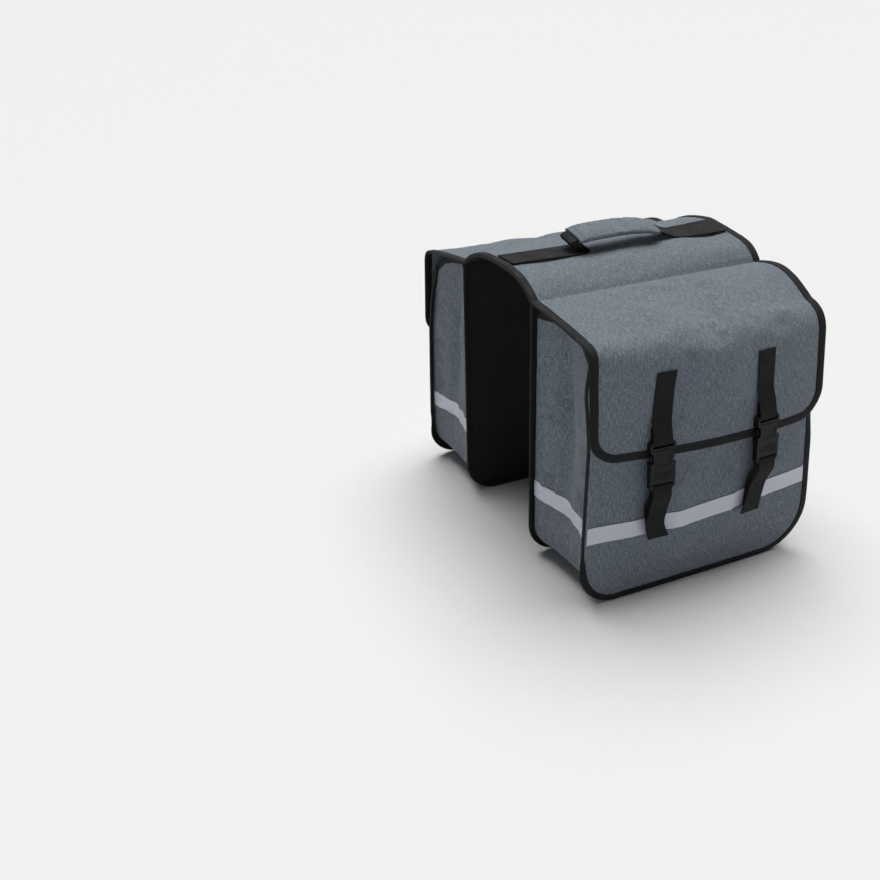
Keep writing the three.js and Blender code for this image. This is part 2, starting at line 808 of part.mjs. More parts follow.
// One closure: buckle, webbing sewn to the flap, and webbing from the bag with its loose tail
function makeClosure(side, { number, side: place, tailDrift }) {
  const x = closureShift + place * closureSpacing;
  const face = flapFace(x, buckleHeight);
  const buckleLift = clothTapeHalf + buckleClearance + buckleThickness / 2;
  const frame = new THREE.Group();
  const xAxis = new THREE.Vector3(1, -face.alongX, 0).normalize();
  const zAxis = new THREE.Vector3(0, -face.upZ, 1);
  const yAxis = zAxis.clone().cross(xAxis).normalize();
  zAxis.crossVectors(xAxis, yAxis);
  frame.matrix.makeBasis(xAxis, yAxis, zAxis);
  frame.matrix.setPosition(new THREE.Vector3(x, -face.depth, buckleHeight).addScaledVector(yAxis, -buckleLift));
  frame.matrix.decompose(frame.position, frame.quaternion, frame.scale);
  const socket = named(`${side}_buckle_socket_${number}`, makeSocketGeometry(), plasticLook);
  const plug = named(`${side}_buckle_plug_${number}`, makePlugGeometry(), plasticLook);
  frame.add(socket, plug);

  const inBuckle = ({ out, height }) => ({
    point: new THREE.Vector3(0, -out, height).applyMatrix4(frame.matrix),
    across: xAxis,
    width: webbingWidth,
  });
  const onFlap = ({ down }) => {
    const z = lerp(closureTop, buckleHeight, down);
    const point = new THREE.Vector3(x, -flapFace(x, z).depth, z);
    return { point: point.addScaledVector(yAxis, -clothWebbingLift), across: xAxis, width: webbingWidth };
  };
  const onPanel = (lift) => ({ up, off, drift = 0, flare = 1 }) => {
    const point = panelPoint(x, anchorEnd + up);
    point.add(new THREE.Vector3(drift * tailDrift, -lift - off, 0));
    return { point, across: xAxis, width: webbingWidth * flare };
  };

  const flapWebbing = [
    ...FLAP_WEBBING.map(onFlap),
    inBuckle({ out: clothWebbingLift - buckleLift, height: webbingLeaves }),
    ...SOCKET_LEAD.map(inBuckle),
    ...barTurn(1, true).map(inBuckle),
    ...SOCKET_RETURN.map(inBuckle),
  ];
  const anchorLift = stripeLift + (stripeThickness + webbingThickness) / 2 + webbingClearance;
  const tailLift = anchorLift + webbingThickness + webbingClearance;
  const bagWebbing = [
    ...ANCHOR_WEBBING.map(onPanel(anchorLift)),
    inBuckle(PLUG_LEAD),
    ...barTurn(-1, false).map(inBuckle),
    inBuckle(PLUG_RETURN),
    ...TAIL_WEBBING.map(onPanel(tailLift)),
  ];
  const group = new THREE.Group();
  group.add(
    frame,
    named(`${side}_flap_webbing_${number}`, ribbon(flapWebbing, webbingThickness), tapeLook),
    named(`${side}_bag_webbing_${number}`, ribbon(bagWebbing, webbingThickness), tapeLook),
  );
  return group;
}

function makeBag(side) {
  const bag = new THREE.Group();
  const front = makeFrontPatch();
  const flap = makeFlapPatch();
  const gusset = makeGussetRows();
  bag.add(
    makeBackPanel(side),
    makeBackBinding(side),
    makeFrontPanel(side, front),
    makeFrontBinding(side, front),
    makeFrontStripe(side, front),
    makeGusset(side, gusset),
    makeFlap(side, flap),
    makeFlapBinding(side, flap),
  );
  for (const end of ["front", "rear"]) {
    bag.add(makeMouthBinding(side, end, gusset), makeGussetStripe(side, end, gusset));
  }
  bag.add(...CLOSURES.map((closure) => makeClosure(side, closure)));
  bag.position.y = -halfGap;
  return bag;
}

// Middle surface of the bridge at x, and at a share across from the near bag to the far one
function bridgePoint(x, across) {
  const along = x / halfLength;
  const rise = readTable(BRIDGE_SECTIONS, "along", "rise", along) * halfGap;
  const squareness = readTable(BRIDGE_SECTIONS, "along", "squareness", along);
  const z = hingeHeight + rise * (1 - Math.abs(across) ** squareness);
  return new THREE.Vector3(x, across * (halfGap - bridgeInset), z);
}

const bridgeAcross = [...BRIDGE_COLUMNS.map((share) => -share), 0, ...[...BRIDGE_COLUMNS].reverse()];

// Bridge stations along x: the edge, the reach of its tape, and even steps between
function bridgeStations() {
  const reach = bridgeHalf - bridgeTapeWidth;
  const inner = Array.from({ length: bridgeSteps + 1 }, (_, i) => lerp(-reach, reach, i / bridgeSteps));
  return [-bridgeHalf, ...inner, bridgeHalf];
}

function bridgeRow(x) {
  return bridgeAcross.map((across) => bridgePoint(x, across));
}

function makeBridge() {
  return named("bridge", gridSheet(bridgeStations().map(bridgeRow), clothThickness), fabricLook);
}

function makeBridgeLining() {
  const rows = bridgeStations().map(bridgeRow);
  return named("bridge_lining", gridSheet(rows, liningThickness, liningLift), boardLook);
}

function makeBridgeBinding(end) {
  const direction = end === "front" ? -1 : 1;
  const order = (row) => (direction < 0 ? row.reverse() : row);
  const edge = order(bridgeRow(direction * bridgeHalf));
  const reach = order(bridgeRow(direction * (bridgeHalf - bridgeTapeWidth)));
  const stack = clothThickness + clearance + liningThickness;
  const geometry = foldedTape(edge, reach, stack, -(clearance + liningThickness) / 2);
  return named(`bridge_binding_${end}`, geometry, tapeLook);
}

// The carry strap from one bridge binding to the other, rising into the handle
function strapStations() {
  const lift = (clothThickness + strapThickness) / 2 + webbingClearance;
  const end = (bridgeHalf - bridgeTapeWidth) / halfLength;
  const path = [{ along: -end, rise: 0, fold: 0 }, ...STRAP_PATH, { along: end, rise: 0, fold: 0 }];
  return path.map(({ along, rise, fold, sleeve }) => {
    const point = bridgePoint(along * halfLength, 0);
    point.z += lift + rise * handleRise;
    return {
      point,
      across: new THREE.Vector3(0, 1, 0),
      width: lerp(carryStrapWidth, handleWidth, fold),
      sleeve: Boolean(sleeve),
    };
  });
}

function makeCarryStrap() {
  return named("carry_strap", ribbon(strapStations(), strapThickness), tapeLook);
}

// The points of a box with cut corners, counter-clockwise in y and height
function cutBox(halfWidth, halfHeight, cut) {
  return [
    [halfWidth, -halfHeight + cut],
    [halfWidth, halfHeight - cut],
    [halfWidth - cut, halfHeight],
    [-halfWidth + cut, halfHeight],
    [-halfWidth, halfHeight - cut],
    [-halfWidth, -halfHeight + cut],
    [-halfWidth + cut, -halfHeight],
    [halfWidth - cut, -halfHeight],
  ];
}

// The padded sleeve, open at both ends, with the strap inside it
function makeHandleSleeve() {
  const stations = strapStations();
  const outer = cutBox(sleeveWidth / 2, sleeveThickness / 2, sleeveCorner);
  const inner = cutBox(handleWidth / 2 + webbingClearance, strapThickness / 2 + clearance, clearance);
  const sections = [];
  stations.forEach(({ point, sleeve }, i) => {
    if (sleeve) {
      const along = stations[i + 1].point.clone().sub(stations[i - 1].point).normalize();
      const up = along.clone().cross(new THREE.Vector3(0, 1, 0)).normalize();
      const place = ([y, z]) => point.clone().addScaledVector(up, z).add(new THREE.Vector3(0, y, 0));
      sections.push([...outer.map(place), ...inner.map(place)]);
    }
  });
  const size = outer.length;
  const count = 2 * size;
  const quads = [];
  for (let k = 0; k < sections.length - 1; k += 1) {
    for (let i = 0; i < size; i += 1) {
      const next = (i + 1) % size;
      const [here, there] = [k * count, (k + 1) * count];
      quads.push([here + i, here + next, there + next, there + i]);
      quads.push([here + size + next, here + size + i, there + size + i, there + size + next]);
    }
  }
  const end = (sections.length - 1) * count;
  for (let i = 0; i < size; i += 1) {
    const next = (i + 1) % size;
    quads.push([i, size + i, size + next, next]);
    quads.push([end + i, end + next, end + size + next, end + size + i]);
  }
  return named("handle_sleeve", triangleGeometry(sections.flat(), splitQuads(quads)), fabricLook);
}

const pannier = new THREE.Group();
const farBag = new THREE.Group();
farBag.add(makeBag("right"));
farBag.scale.y = -1;
pannier.add(
  makeBag("left"),
  farBag,
  makeBridge(),
  makeBridgeLining(),
  makeBridgeBinding("front"),
  makeBridgeBinding("rear"),
  makeCarryStrap(),
  makeHandleSleeve(),
);

export default pannier;
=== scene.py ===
import math

import bmesh
import bpy
import numpy as np
from mathutils import Matrix, Vector


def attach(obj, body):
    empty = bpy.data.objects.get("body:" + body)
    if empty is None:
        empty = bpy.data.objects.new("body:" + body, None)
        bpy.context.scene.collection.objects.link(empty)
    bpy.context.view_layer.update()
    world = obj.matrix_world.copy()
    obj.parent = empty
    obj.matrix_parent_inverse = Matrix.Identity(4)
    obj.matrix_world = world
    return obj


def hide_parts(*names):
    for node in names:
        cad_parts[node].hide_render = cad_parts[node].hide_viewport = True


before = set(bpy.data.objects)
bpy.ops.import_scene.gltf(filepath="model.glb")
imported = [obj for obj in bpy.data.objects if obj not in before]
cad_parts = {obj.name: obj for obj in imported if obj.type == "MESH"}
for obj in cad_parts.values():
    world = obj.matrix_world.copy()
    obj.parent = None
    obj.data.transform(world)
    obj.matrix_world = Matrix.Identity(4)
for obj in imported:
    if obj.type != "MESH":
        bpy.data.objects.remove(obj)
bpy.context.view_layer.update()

bl_info = {
    "name": "Double bicycle pannier",
    "version": (1, 0, 0),
    "blender": (4, 5, 0),
    "location": "3D View > Sidebar > Pannier",
    "description": "Dresses the packed double pannier in heather cloth, tape, webbing and buckles",
    "category": "Object",
}

CLOTH_MAP = "ClothMap"
TURN = 2 * math.pi

# Bag, in metres. One bag is worked out with its depth along -Y, and the other is its mirror image.
BAG_LENGTH = 0.327
BAG_DEPTH = 0.131
HINGE_HEIGHT = 0.342
RACK_GAP = 0.182
MOUTH_HEIGHT = 0.305
MOUTH_DEPTH = 0.116
TAPER_START = 0.2
FRONT_CROWN = 0.012
CROWN_POWER = 2.4
BODY_RADII = (0.046, 0.062)
REAR_SETTLE = 0.012
GUSSET_PINCH = 0.014
CREASE_DEPTHS = (0.62, 0.43)
BOTTOM_SAG = 0.002

# Thicknesses and gaps
CLOTH = 0.0015
BOARD = 0.002
LINING = 0.001
TAPE = 0.0008
WEBBING = 0.0014
STRAP = 0.002
BAND = 0.0005
GAP = 0.0003
WEBBING_GAP = 0.0005

# Seams and tapes
FLANGE = 0.01
FLANGE_LEAN = math.radians(25)
FRONT_LEAN = math.radians(84)
FRONT_REACH = 0.006
FRONT_FLANGE = 0.0062
BACK_REACH = 0.0045
WALL_INSET = 0.0016
MOUTH_TAPE = 0.01
LEG_TRIM = 0.0015
BRIDGE_INSET = 0.0003
BRIDGE_TAPE = 0.01

# Flap
HEM_HEIGHT = 0.187
FLAP_START = 0.0002
FLAP_TAPE = 0.011
FLAP_RADII = (0.034, 0.04)
HEM_RISE = 0.007

# Reflective band
BAND_LOW = 0.089
BAND_HIGH = 0.111
BAND_RISE = 0.006

# Closures
WEBBING_WIDTH = 0.025
CLOSURE_TOP = 0.29
BUCKLE_HEIGHT = 0.184
BUCKLE_GAP = 0.0004
SEAM_END = 0.092
CLOSURES = (
    {
        "number": 1, "x": -0.079, "slant": 0.0085,
        "anchor": (0.0065, 0.002, 0), "tail": (0, -0.001, 0.008),
    },
    {
        "number": 2, "x": 0.066, "slant": 0,
        "anchor": (-0.0035, -0.0025, -0.001), "tail": (-0.0026, -0.0052, -0.0065),
    },
)
SLANT_START = 0.04

# Buckle
BUCKLE_HALF = 0.0162
BUCKLE_THICKNESS = 0.0086
PLUG_THICKNESS = 0.007
BUCKLE_REACH = 0.029
BUCKLE_MOUTH = -0.003
BUCKLE_CORNER = 0.003
BAR_HEIGHT = 0.004
BAR_THICKNESS = 0.003
SLOT_HEIGHT = 0.0032
SLOT_HALF = 0.013
SOCKET_WALL = 0.0021
SOCKET_END = 0.0175
WINDOW_LOW = 0.005
WINDOW_HIGH = 0.015
WINDOW_DEPTH = 0.0036

# Carry strap and handle
CARRY_WIDTH = 0.041
HANDLE_WIDTH = 0.028
HANDLE_RISE = 0.021
SLEEVE_WIDTH = 0.041
SLEEVE_THICKNESS = 0.0092
HANDLE_TILT = 0.2

SIDE_LINES = {
    "up": (0, 0.2, 0.4, 0.62, 1),
    "front": (1, 1.015, 1.01, 1, 0.985),
    "rear": (1, 1.015, 0.985, 0.945, 0.93),
}
CROWN_LINES = {
    "up": (0, 0.12, 0.3, 0.55, 0.8, 1),
    "fullness": (0, 0.35, 0.85, 1, 0.95, 0.8),
}
GUSSET_FOLDS = {
    "depth": (0, 0.22, 0.45, 0.62, 0.78, 0.9, 1),
    "top": (0.74, 0.78, 0.71, 0.64, 0.5, 0.2, 0),
}
PINCH_LINES = {"up": (0, 0.25, 0.6, 1), "pull": (0, 0.5, 1, 0.8)}
FLAP_SECTIONS = {
    "front": {
        "corner_depth": 0.97, "corner_height": 0.953, "hem_depth": 1.042, "bend": 0.044, "arch": 0.003,
    },
    "middle": {
        "corner_depth": 1.031, "corner_height": 0.942, "hem_depth": 1.126, "bend": 0.099, "arch": 0.018,
    },
    "rear": {
        "corner_depth": 0.924, "corner_height": 0.924, "hem_depth": 1.036, "bend": 0.076, "arch": 0.041,
    },
}
BRIDGE_SECTIONS = {"along": (-1, 0, 1), "rise": (0.275, 0.275, 0.36), "squareness": (3.2, 3.6, 5.8)}
NEAR_DROP = {"across": (-1, -0.6, -0.2, 0.1, 0.4, 1), "drop": (0.28, 0.28, 0.14, 0.025, 0, 0)}
REAR_TILT = 0.13
STRAP_PATH = {
    "along": (-0.62, -0.4, -0.31, -0.275, -0.29, -0.36, -0.42, -0.43, -0.385, -0.29,
              -0.16, -0.03, 0.1, 0.22, 0.32, 0.39, 0.45, 0.51, 0.6, 0.77),
    "rise": (0, 0, 0.03, 0.12, 0.27, 0.38, 0.52, 0.68, 0.82, 0.92,
             0.97, 0.97, 0.92, 0.8, 0.61, 0.38, 0.16, 0.03, 0, 0),
    "fold": (0, 0.2, 0.6, 0.9, 1, 1, 1, 1, 1, 1,
             1, 1, 1, 1, 1, 1, 0.9, 0.6, 0.2, 0),
}
SLEEVE_ROWS = (8, 14)
SLEEVE_HEM = 0.01
STRAP_BOXES = ((-0.135, -0.108), (-0.085, -0.066), (0.112, 0.142))
BOX_HALF = 0.0095
STITCH_SIDES = 5
STITCH_RINGS = ((-0.38, 0.75, -0.3), (0, 1, 0.1), (0.38, 0.75, -0.3))
BLACK_THREAD = (0.016, 0.016, 0.018)
GREY_THREAD = (0.16, 0.18, 0.21)
STRAP_DRIFT = {"front": -0.006, "rear": -0.016}
SOCKET_LEAD = ((-0.0006, 0.047), (0.002, 0.035))
SOCKET_RETURN = ((-0.0031, 0.036), (-0.0032, 0.045))
REAR_DROP = 0.22
WEBBING_LEAVES = 0.064
BAR_TURN = ((1, 0.9), (0.8, 0.2), (0, 0), (-0.8, 0.2), (-1, 0.9))
ANCHOR_WEBBING = ((0, 0, 0.92), (0.018, 0, 0.94), (0.036, 0.0006, 1))
PLUG_LEAD = (-0.0052, -0.037)
PLUG_RETURN = (0.0032, -0.037)
TAIL_WEBBING = ((0.036, 0.0082, 1), (0.014, 0.0056, 1), (-0.008, 0.0034, 1.12))

# Sizes that follow
HALF_LENGTH = BAG_LENGTH / 2
HALF_GAP = RACK_GAP / 2
TAPE_OVER = GAP + TAPE
CLOTH_TAPE_HALF = CLOTH / 2 + TAPE_OVER
BOARD_TAPE_HALF = BOARD / 2 + TAPE_OVER
SEAM_INSET = (FLANGE + TAPE_OVER) * math.cos(FLANGE_LEAN) + CLOTH_TAPE_HALF * math.sin(FLANGE_LEAN)
BACK_HEIGHT = HINGE_HEIGHT - BOARD_TAPE_HALF - WEBBING_GAP
WEBBING_LIFT = (CLOTH + WEBBING) / 2 + WEBBING_GAP
BAND_LIFT = CLOTH / 2 + 2 * GAP + BAND / 2
BRIDGE_HALF = HALF_LENGTH - TAPE_OVER
BAR_INNER = BUCKLE_REACH - BAR_HEIGHT

PANEL_BUMPS = (
    {"height": -1.6, "centre": (-0.005, 0.15), "size": (0.05, 0.07)},
    {"height": -2.2, "centre": (0.115, 0.165), "size": (0.02, 0.022)},
)
FLAP_BUMPS = (
    {"height": -2.6, "centre": (0.094, 0.128), "size": (0.017, 0.012)},
    {"height": 1.6, "centre": (0.1, 0.147), "size": (0.03, 0.012)},
)
CLOTH_SETTINGS = {
    "quality": 5,
    "mass": 0.35,
    "tension_stiffness": 30,
    "compression_stiffness": 30,
    "shear_stiffness": 12,
    "bending_stiffness": 1.2,
    "air_damping": 3,
    "vertex_group_mass": "held",
    "pin_stiffness": 1.0,
}
CORNER_GAP = 0.004
STRAIGHT_END = max(BODY_RADII) + CORNER_GAP
GUSSET_RISE_START = 0.262
CORNER_STEPS = 16
BOTTOM_STEPS = 76
SIDES = ("left", "right")


def lerp(a, b, share):
    """The value at a share of the way from a to b."""
    return a + (b - a) * share


def smooth(share):
    """A share eased at both ends and held from 0 to 1."""
    share = np.clip(share, 0, 1)
    return share * share * (3 - 2 * share)


def unit(vectors):
    vectors = np.asarray(vectors, float)
    return vectors / np.maximum(np.linalg.norm(vectors, axis=-1, keepdims=True), 1e-12)


def read(table, key, column, value):
    """A column of a table at values of its key column, on a smooth curve through its rows."""
    keys = np.array(table[key], float)
    rows = np.array(table[column], float)
    slopes = np.gradient(rows, keys)
    value = np.clip(value, keys[0], keys[-1])
    i = np.clip(np.searchsorted(keys, value, side="right") - 1, 0, len(keys) - 2)
    span = keys[i + 1] - keys[i]
    t = (value - keys[i]) / span
    start = (2 * t**3 - 3 * t**2 + 1) * rows[i] + (t**3 - 2 * t**2 + t) * span * slopes[i]
    return start + (3 * t**2 - 2 * t**3) * rows[i + 1] + (t**3 - t**2) * span * slopes[i + 1]


def ripple(x, y, seed, wavelength, stretch=1.0, count=11):
    """Soft random waves of about unit height. Stretch draws them out along y."""
    rng = np.random.default_rng(seed)
    angles = rng.uniform(0, TURN, count)
    sizes = TURN / wavelength * rng.uniform(0.6, 1.5, count)
    phases = rng.uniform(0, TURN, count)
    total = 0
    for angle, size, phase in zip(angles, sizes, phases):
        total = total + np.cos(size * (x * math.cos(angle) + y / stretch * math.sin(angle)) + phase)
    return total / math.sqrt(count)


def bumps(table, x, y):
    """The sum of round hills, each with its height, its centre and its half widths along x and y."""
    total = 0
    for row in table:
        (centre_x, centre_y), (size_x, size_y) = row["centre"], row["size"]
        hill = np.exp(-(((x - centre_x) / size_x) ** 2) - ((y - centre_y) / size_y) ** 2)
        total = total + row["height"] * hill
    return total


class Shape:
    """Points, four-sided and three-sided faces, and the map place of each face corner, in metres."""

    def __init__(self, points, quads, quad_map=None, tris=(), tri_map=None):
        self.points = np.asarray(points, float)
        self.quads = np.asarray(quads, int).reshape(-1, 4)
        self.tris = np.asarray(tris, int).reshape(-1, 3)
        self.quad_map = np.zeros((len(self.quads), 4, 2)) if quad_map is None else quad_map
        self.tri_map = np.zeros((len(self.tris), 3, 2)) if tri_map is None else tri_map

    def turned_over(self):
        turned = [values[:, ::-1] for values in (self.quads, self.quad_map, self.tris, self.tri_map)]
        return Shape(self.points, *turned)

    def mirrored(self):
        other = self.turned_over()
        other.points = other.points * (1, -1, 1)
        return other

    def facing_out(self):
        """The shape with its faces turned so that its volume is positive."""
        faces = np.vstack([self.quads[:, :3], self.quads[:, [0, 2, 3]], self.tris])
        a, b, c = (self.points[faces[:, i]] for i in range(3))
        return self if np.einsum("ij,ij->", a, np.cross(b, c)) > 0 else self.turned_over()


def joined(shapes):
    """Shapes as one shape."""
    starts = np.cumsum([0] + [len(s.points) for s in shapes])
    return Shape(
        np.vstack([s.points for s in shapes]),
        np.vstack([s.quads + start for s, start in zip(shapes, starts)]),
        np.vstack([s.quad_map for s in shapes]),
        np.vstack([s.tris + start for s, start in zip(shapes, starts)]),
        np.vstack([s.tri_map for s in shapes]),
    )


def for_side(shape, side):
    """The left bag's shape for either side."""
    return shape if side == "left" else shape.mirrored()


def mesh_of(name, shape, sharp=55):
    """A Blender mesh of a shape, smooth but for edges sharper than the angle in degrees."""
    mesh = bpy.data.meshes.new(name)
    corners = np.concatenate([shape.quads.ravel(), shape.tris.ravel()]).astype(np.int32)
    counts = np.concatenate([np.full(len(shape.quads), 4), np.full(len(shape.tris), 3)])
    starts = np.concatenate([[0], np.cumsum(counts)[:-1]]).astype(np.int32)
    mesh.vertices.add(len(shape.points))
    mesh.vertices.foreach_set("co", shape.points.astype(np.float32).ravel())
    mesh.loops.add(len(corners))
    mesh.loops.foreach_set("vertex_index", corners)
    mesh.polygons.add(len(counts))
    mesh.polygons.foreach_set("loop_start", starts)
    mesh.update(calc_edges=True)
    places = np.concatenate([shape.quad_map.reshape(-1, 2), shape.tri_map.reshape(-1, 2)])
    mesh.uv_layers.new(name=CLOTH_MAP).data.foreach_set("uv", places.astype(np.float32).ravel())
    mesh.polygons.foreach_set("use_smooth", np.ones(len(counts), bool))
    mesh.set_sharp_from_angle(angle=math.radians(sharp))
    if mesh.validate():
        raise RuntimeError(f"{name}: the mesh has faces that Blender refuses")
    return mesh


def place_piece(name, mesh, slot, stands_for=(), material=None):
    """Put a finished mesh in the scene as one piece that rides with the pannier."""
    piece = bpy.data.objects.new(name, mesh)
    bpy.context.scene.collection.objects.link(piece)
    piece.data.materials.clear()
    piece.data.materials.append(material or SLOT_MATERIALS[slot]())
    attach(piece, "root")
    if stands_for:
        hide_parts(*stands_for)
    return piece


def place_shape(name, shape, slot, *stands_for):
    """Place a shape that stands for solids of the CAD model."""
    return place_piece(name, mesh_of(name, shape), slot, stands_for)


def place_side(side, kind, shape, slot, stands_for):
    """Place one side's copy of a shape that was worked out for the left bag."""
    return place_shape(f"{side}_{kind}", for_side(shape, side), slot, f"{side}_{stands_for}")


def grid_quads(rows, columns):
    """Faces of a grid whose rows run down and whose points run to the right."""
    r, c = np.meshgrid(np.arange(rows - 1), np.arange(columns - 1), indexing="ij")
    first = (r * columns + c).ravel()
    return np.column_stack([first + columns, first + columns + 1, first + 1, first])


def point_normals(points, quads):
    """The normal of a surface at each of its points."""
    corners = points[quads]
    faces = unit(np.cross(corners[:, 2] - corners[:, 0], corners[:, 3] - corners[:, 1]))
    normals = np.zeros_like(points)
    for i in range(4):
        np.add.at(normals, quads[:, i], faces)
    return unit(normals)


def open_sides(quads, count):
    """The sides of faces that no other face shares."""
    sides = np.vstack([quads[:, [i, (i + 1) % 4]] for i in range(4)])
    codes = sides[:, 0] * count + sides[:, 1]
    return sides[~np.isin(codes, sides[:, 1] * count + sides[:, 0])]


def thick_sheet(points, quads, places, thickness, lift=0.0):
    """A closed sheet of even thickness about a surface, moved outward by lift."""
    normals = point_normals(points, quads)
    count = len(points)
    outer = points + normals * (lift + thickness / 2)
    inner = points + normals * (lift - thickness / 2)
    rim = open_sides(quads, count)
    a, b = rim[:, 0], rim[:, 1]
    faces = np.vstack([quads, quads[:, ::-1] + count, np.column_stack([b, a, a + count, b + count])])
    return Shape(np.vstack([outer, inner]), faces, np.vstack([places, places])[faces])


def grid_sheet(grid, places, thickness, lift=0.0):
    rows, columns = grid.shape[:2]
    quads = grid_quads(rows, columns)
    return thick_sheet(grid.reshape(-1, 3), quads, places.reshape(-1, 2), thickness, lift)


def lengths_along(points):
    steps = np.linalg.norm(np.diff(points, axis=0), axis=1)
    return np.concatenate([[0], np.cumsum(steps)])


def curve_through(points, step, *extras):
    """A smooth curve through points at an even step, with other values carried along it."""
    points = np.asarray(points, float)
    places = lengths_along(points)
    table = {"s": places, "x": points[:, 0], "y": points[:, 1], "z": points[:, 2]}
    fine = np.linspace(0, places[-1], 20 * len(points))
    dense = np.column_stack([read(table, "s", axis, fine) for axis in "xyz"])
    along = lengths_along(dense)
    even = np.linspace(0, along[-1], max(3, int(round(along[-1] / step)) + 1))
    line = np.column_stack([np.interp(even, along, dense[:, i]) for i in range(3)])
    at = np.interp(even, along, fine)
    return (line, *[np.interp(at, places, np.asarray(extra, float)) for extra in extras])


def directions_along(line):
    return unit(np.gradient(line, axis=0))


def sweep(line, across, up, profile):
    """Sections of across and up offsets joined along a line, as one closed solid."""
    profile = np.asarray(profile, float)
    count, size = profile.shape[:2]
    points = line[:, None] + across[:, None] * profile[..., :1] + up[:, None] * profile[..., 1:]
    ring = np.linalg.norm(profile - np.roll(profile, -1, axis=1), axis=2).mean(axis=0)
    around = np.concatenate([[0], np.cumsum(ring)])
    along = lengths_along(line)
    k, i = np.meshgrid(np.arange(count - 1), np.arange(size), indexing="ij")
    k, i = k.ravel(), i.ravel()
    corners = ((k, i), (k, i + 1), (k + 1, i + 1), (k + 1, i))
    quads = np.column_stack([row * size + place % size for row, place in corners])
    quad_map = np.stack([np.column_stack([around[place], along[row]]) for row, place in corners], axis=1)
    points = points.reshape(-1, 3)
    middle = len(points)
    last = (count - 1) * size
    points = np.vstack([points, points[:size].mean(axis=0), points[last:].mean(axis=0)])
    here = np.arange(size)
    there = (here + 1) % size
    start = np.column_stack([there, here, np.full(size, middle)])
    end = np.column_stack([last + here, last + there, np.full(size, middle + 1)])
    tri_map = np.zeros((2 * size, 3, 2))
    tri_map[..., 0] = around[1]
    return Shape(points, quads, quad_map, np.vstack([start, end]), tri_map).facing_out()


def strap_profile(width, thickness):
    """Cross-section of a woven strap: rounded selvedges a little thicker than its middle."""
    half = width / 2
    top = thickness / 2
    side = [(half - 0.0012, top), (half - 0.0004, top * 0.8), (half, 0), (half - 0.0004, -top * 0.8)]
    side.append((half - 0.0012, -top))
    inner = [(half - 0.0026, top * 0.84), (half * 0.45, top * 0.8), (-half * 0.45, top * 0.8)]
    left = [(-x, y) for x, y in reversed(side)]
    return [*side, (half - 0.0026, -top * 0.84), (-half + 0.0026, -top * 0.84), *left,
            (-inner[0][0], inner[0][1]), inner[2], inner[1], inner[0]]


def woven_strap(line, across, widths, thickness):
    line = np.asarray(line, float)
    across = np.broadcast_to(np.asarray(across, float), line.shape)
    up = unit(np.cross(across, directions_along(line)))
    profiles = np.array([strap_profile(width, thickness) for width in np.broadcast_to(widths, len(line))])
    return sweep(line, across, up, profiles)


def folded_tape(edge, reach, half_stack, lift=0.0, seed=1):
    """Tape folded round the edge of a sheet, with its two rows of stitching places."""
    count = len(edge)
    quads = grid_quads(2, count)
    band = point_normals(np.vstack([reach, edge]), quads)
    normals = unit(band[:count] + band[count:])
    inward = reach - edge
    legs = np.linalg.norm(inward, axis=1) - LEG_TRIM
    inward = unit(inward)
    along = lengths_along(edge)
    legs = legs * (1 + 0.02 * ripple(along, along * 0, seed, 0.05))
    inside = half_stack + GAP * 0.6
    outside = half_stack + TAPE_OVER
    fold = TAPE_OVER
    dip = 0.00025
    half = [
        (legs, outside - 0.00045),
        (legs - 0.0004, outside - 0.0001),
        (legs - 0.0012, outside - dip),
        (legs - 0.002, outside),
        (legs * 0.45, outside + 0.0001),
        (legs * 0 + 0.0012, outside),
        (legs * 0 - fold * 0.45, outside * 0.86),
        (legs * 0 - fold * 0.9, outside * 0.45),
        (legs * 0 - fold, 0),
    ]
    path = half + [(s, -out) for s, out in reversed(half[:-1])]
    path += [(legs, -inside), (legs * 0 - GAP * 0.6, -inside), (legs * 0 - GAP * 0.6, inside), (legs, inside)]
    profile = np.stack(
        [np.column_stack([s, np.full(count, lift + out)]) for s, out in path], axis=1
    )
    shape = sweep(edge, inward, normals, profile)
    rows = []
    for sign in (1, -1):
        seam = edge + inward * (legs - 0.0012)[:, None] + normals * (lift + sign * (outside - dip))
        rows.append((seam, normals * sign))
    return shape, rows


def stitch_row(line, normals, length, pitch, radius, sink=0.35):
    """One short rounded thread for each stitch along a line."""
    along = lengths_along(line)
    count = int((along[-1] - pitch) / pitch)
    middles = (np.arange(count) + 0.5) * pitch + (along[-1] - count * pitch) / 2

    def at(places, values):
        return np.column_stack([np.interp(places, along, values[:, i]) for i in range(3)])

    tangent = unit(at(middles + 0.001, line) - at(middles - 0.001, line))
    normal = unit(at(middles, normals))
    side = np.cross(tangent, normal)
    turns = np.linspace(0, TURN, STITCH_SIDES, endpoint=False)
    local = [(-0.5, 0, -0.9)]
    for place, size, height in STITCH_RINGS:
        local += [(place, size * math.cos(turn), height + size * math.sin(turn)) for turn in turns]
    local.append((0.5, 0, -0.9))
    local = np.array(local) * (length, radius, radius)
    local[:, 2] += radius * (1 - 2 * sink)
    points = at(middles, line)[:, None]
    for i, axis in enumerate((tangent, side, normal)):
        points = points + axis[:, None] * local[None, :, i : i + 1]
    size = len(local)
    last = size - 1 - STITCH_SIDES
    quads, tris = [], []
    for i in range(STITCH_SIDES):
        j = (i + 1) % STITCH_SIDES
        tris += [(0, 1 + j, 1 + i), (size - 1, last + i, last + j)]
        for first in (1, 1 + STITCH_SIDES):
            after = first + STITCH_SIDES
            quads.append((first + i, first + j, after + j, after + i))
    starts = (np.arange(count) * size)[:, None, None]
    return Shape(
        points.reshape(-1, 3), np.array(quads) + starts, tris=(np.array(tris) + starts)
    ).facing_out()


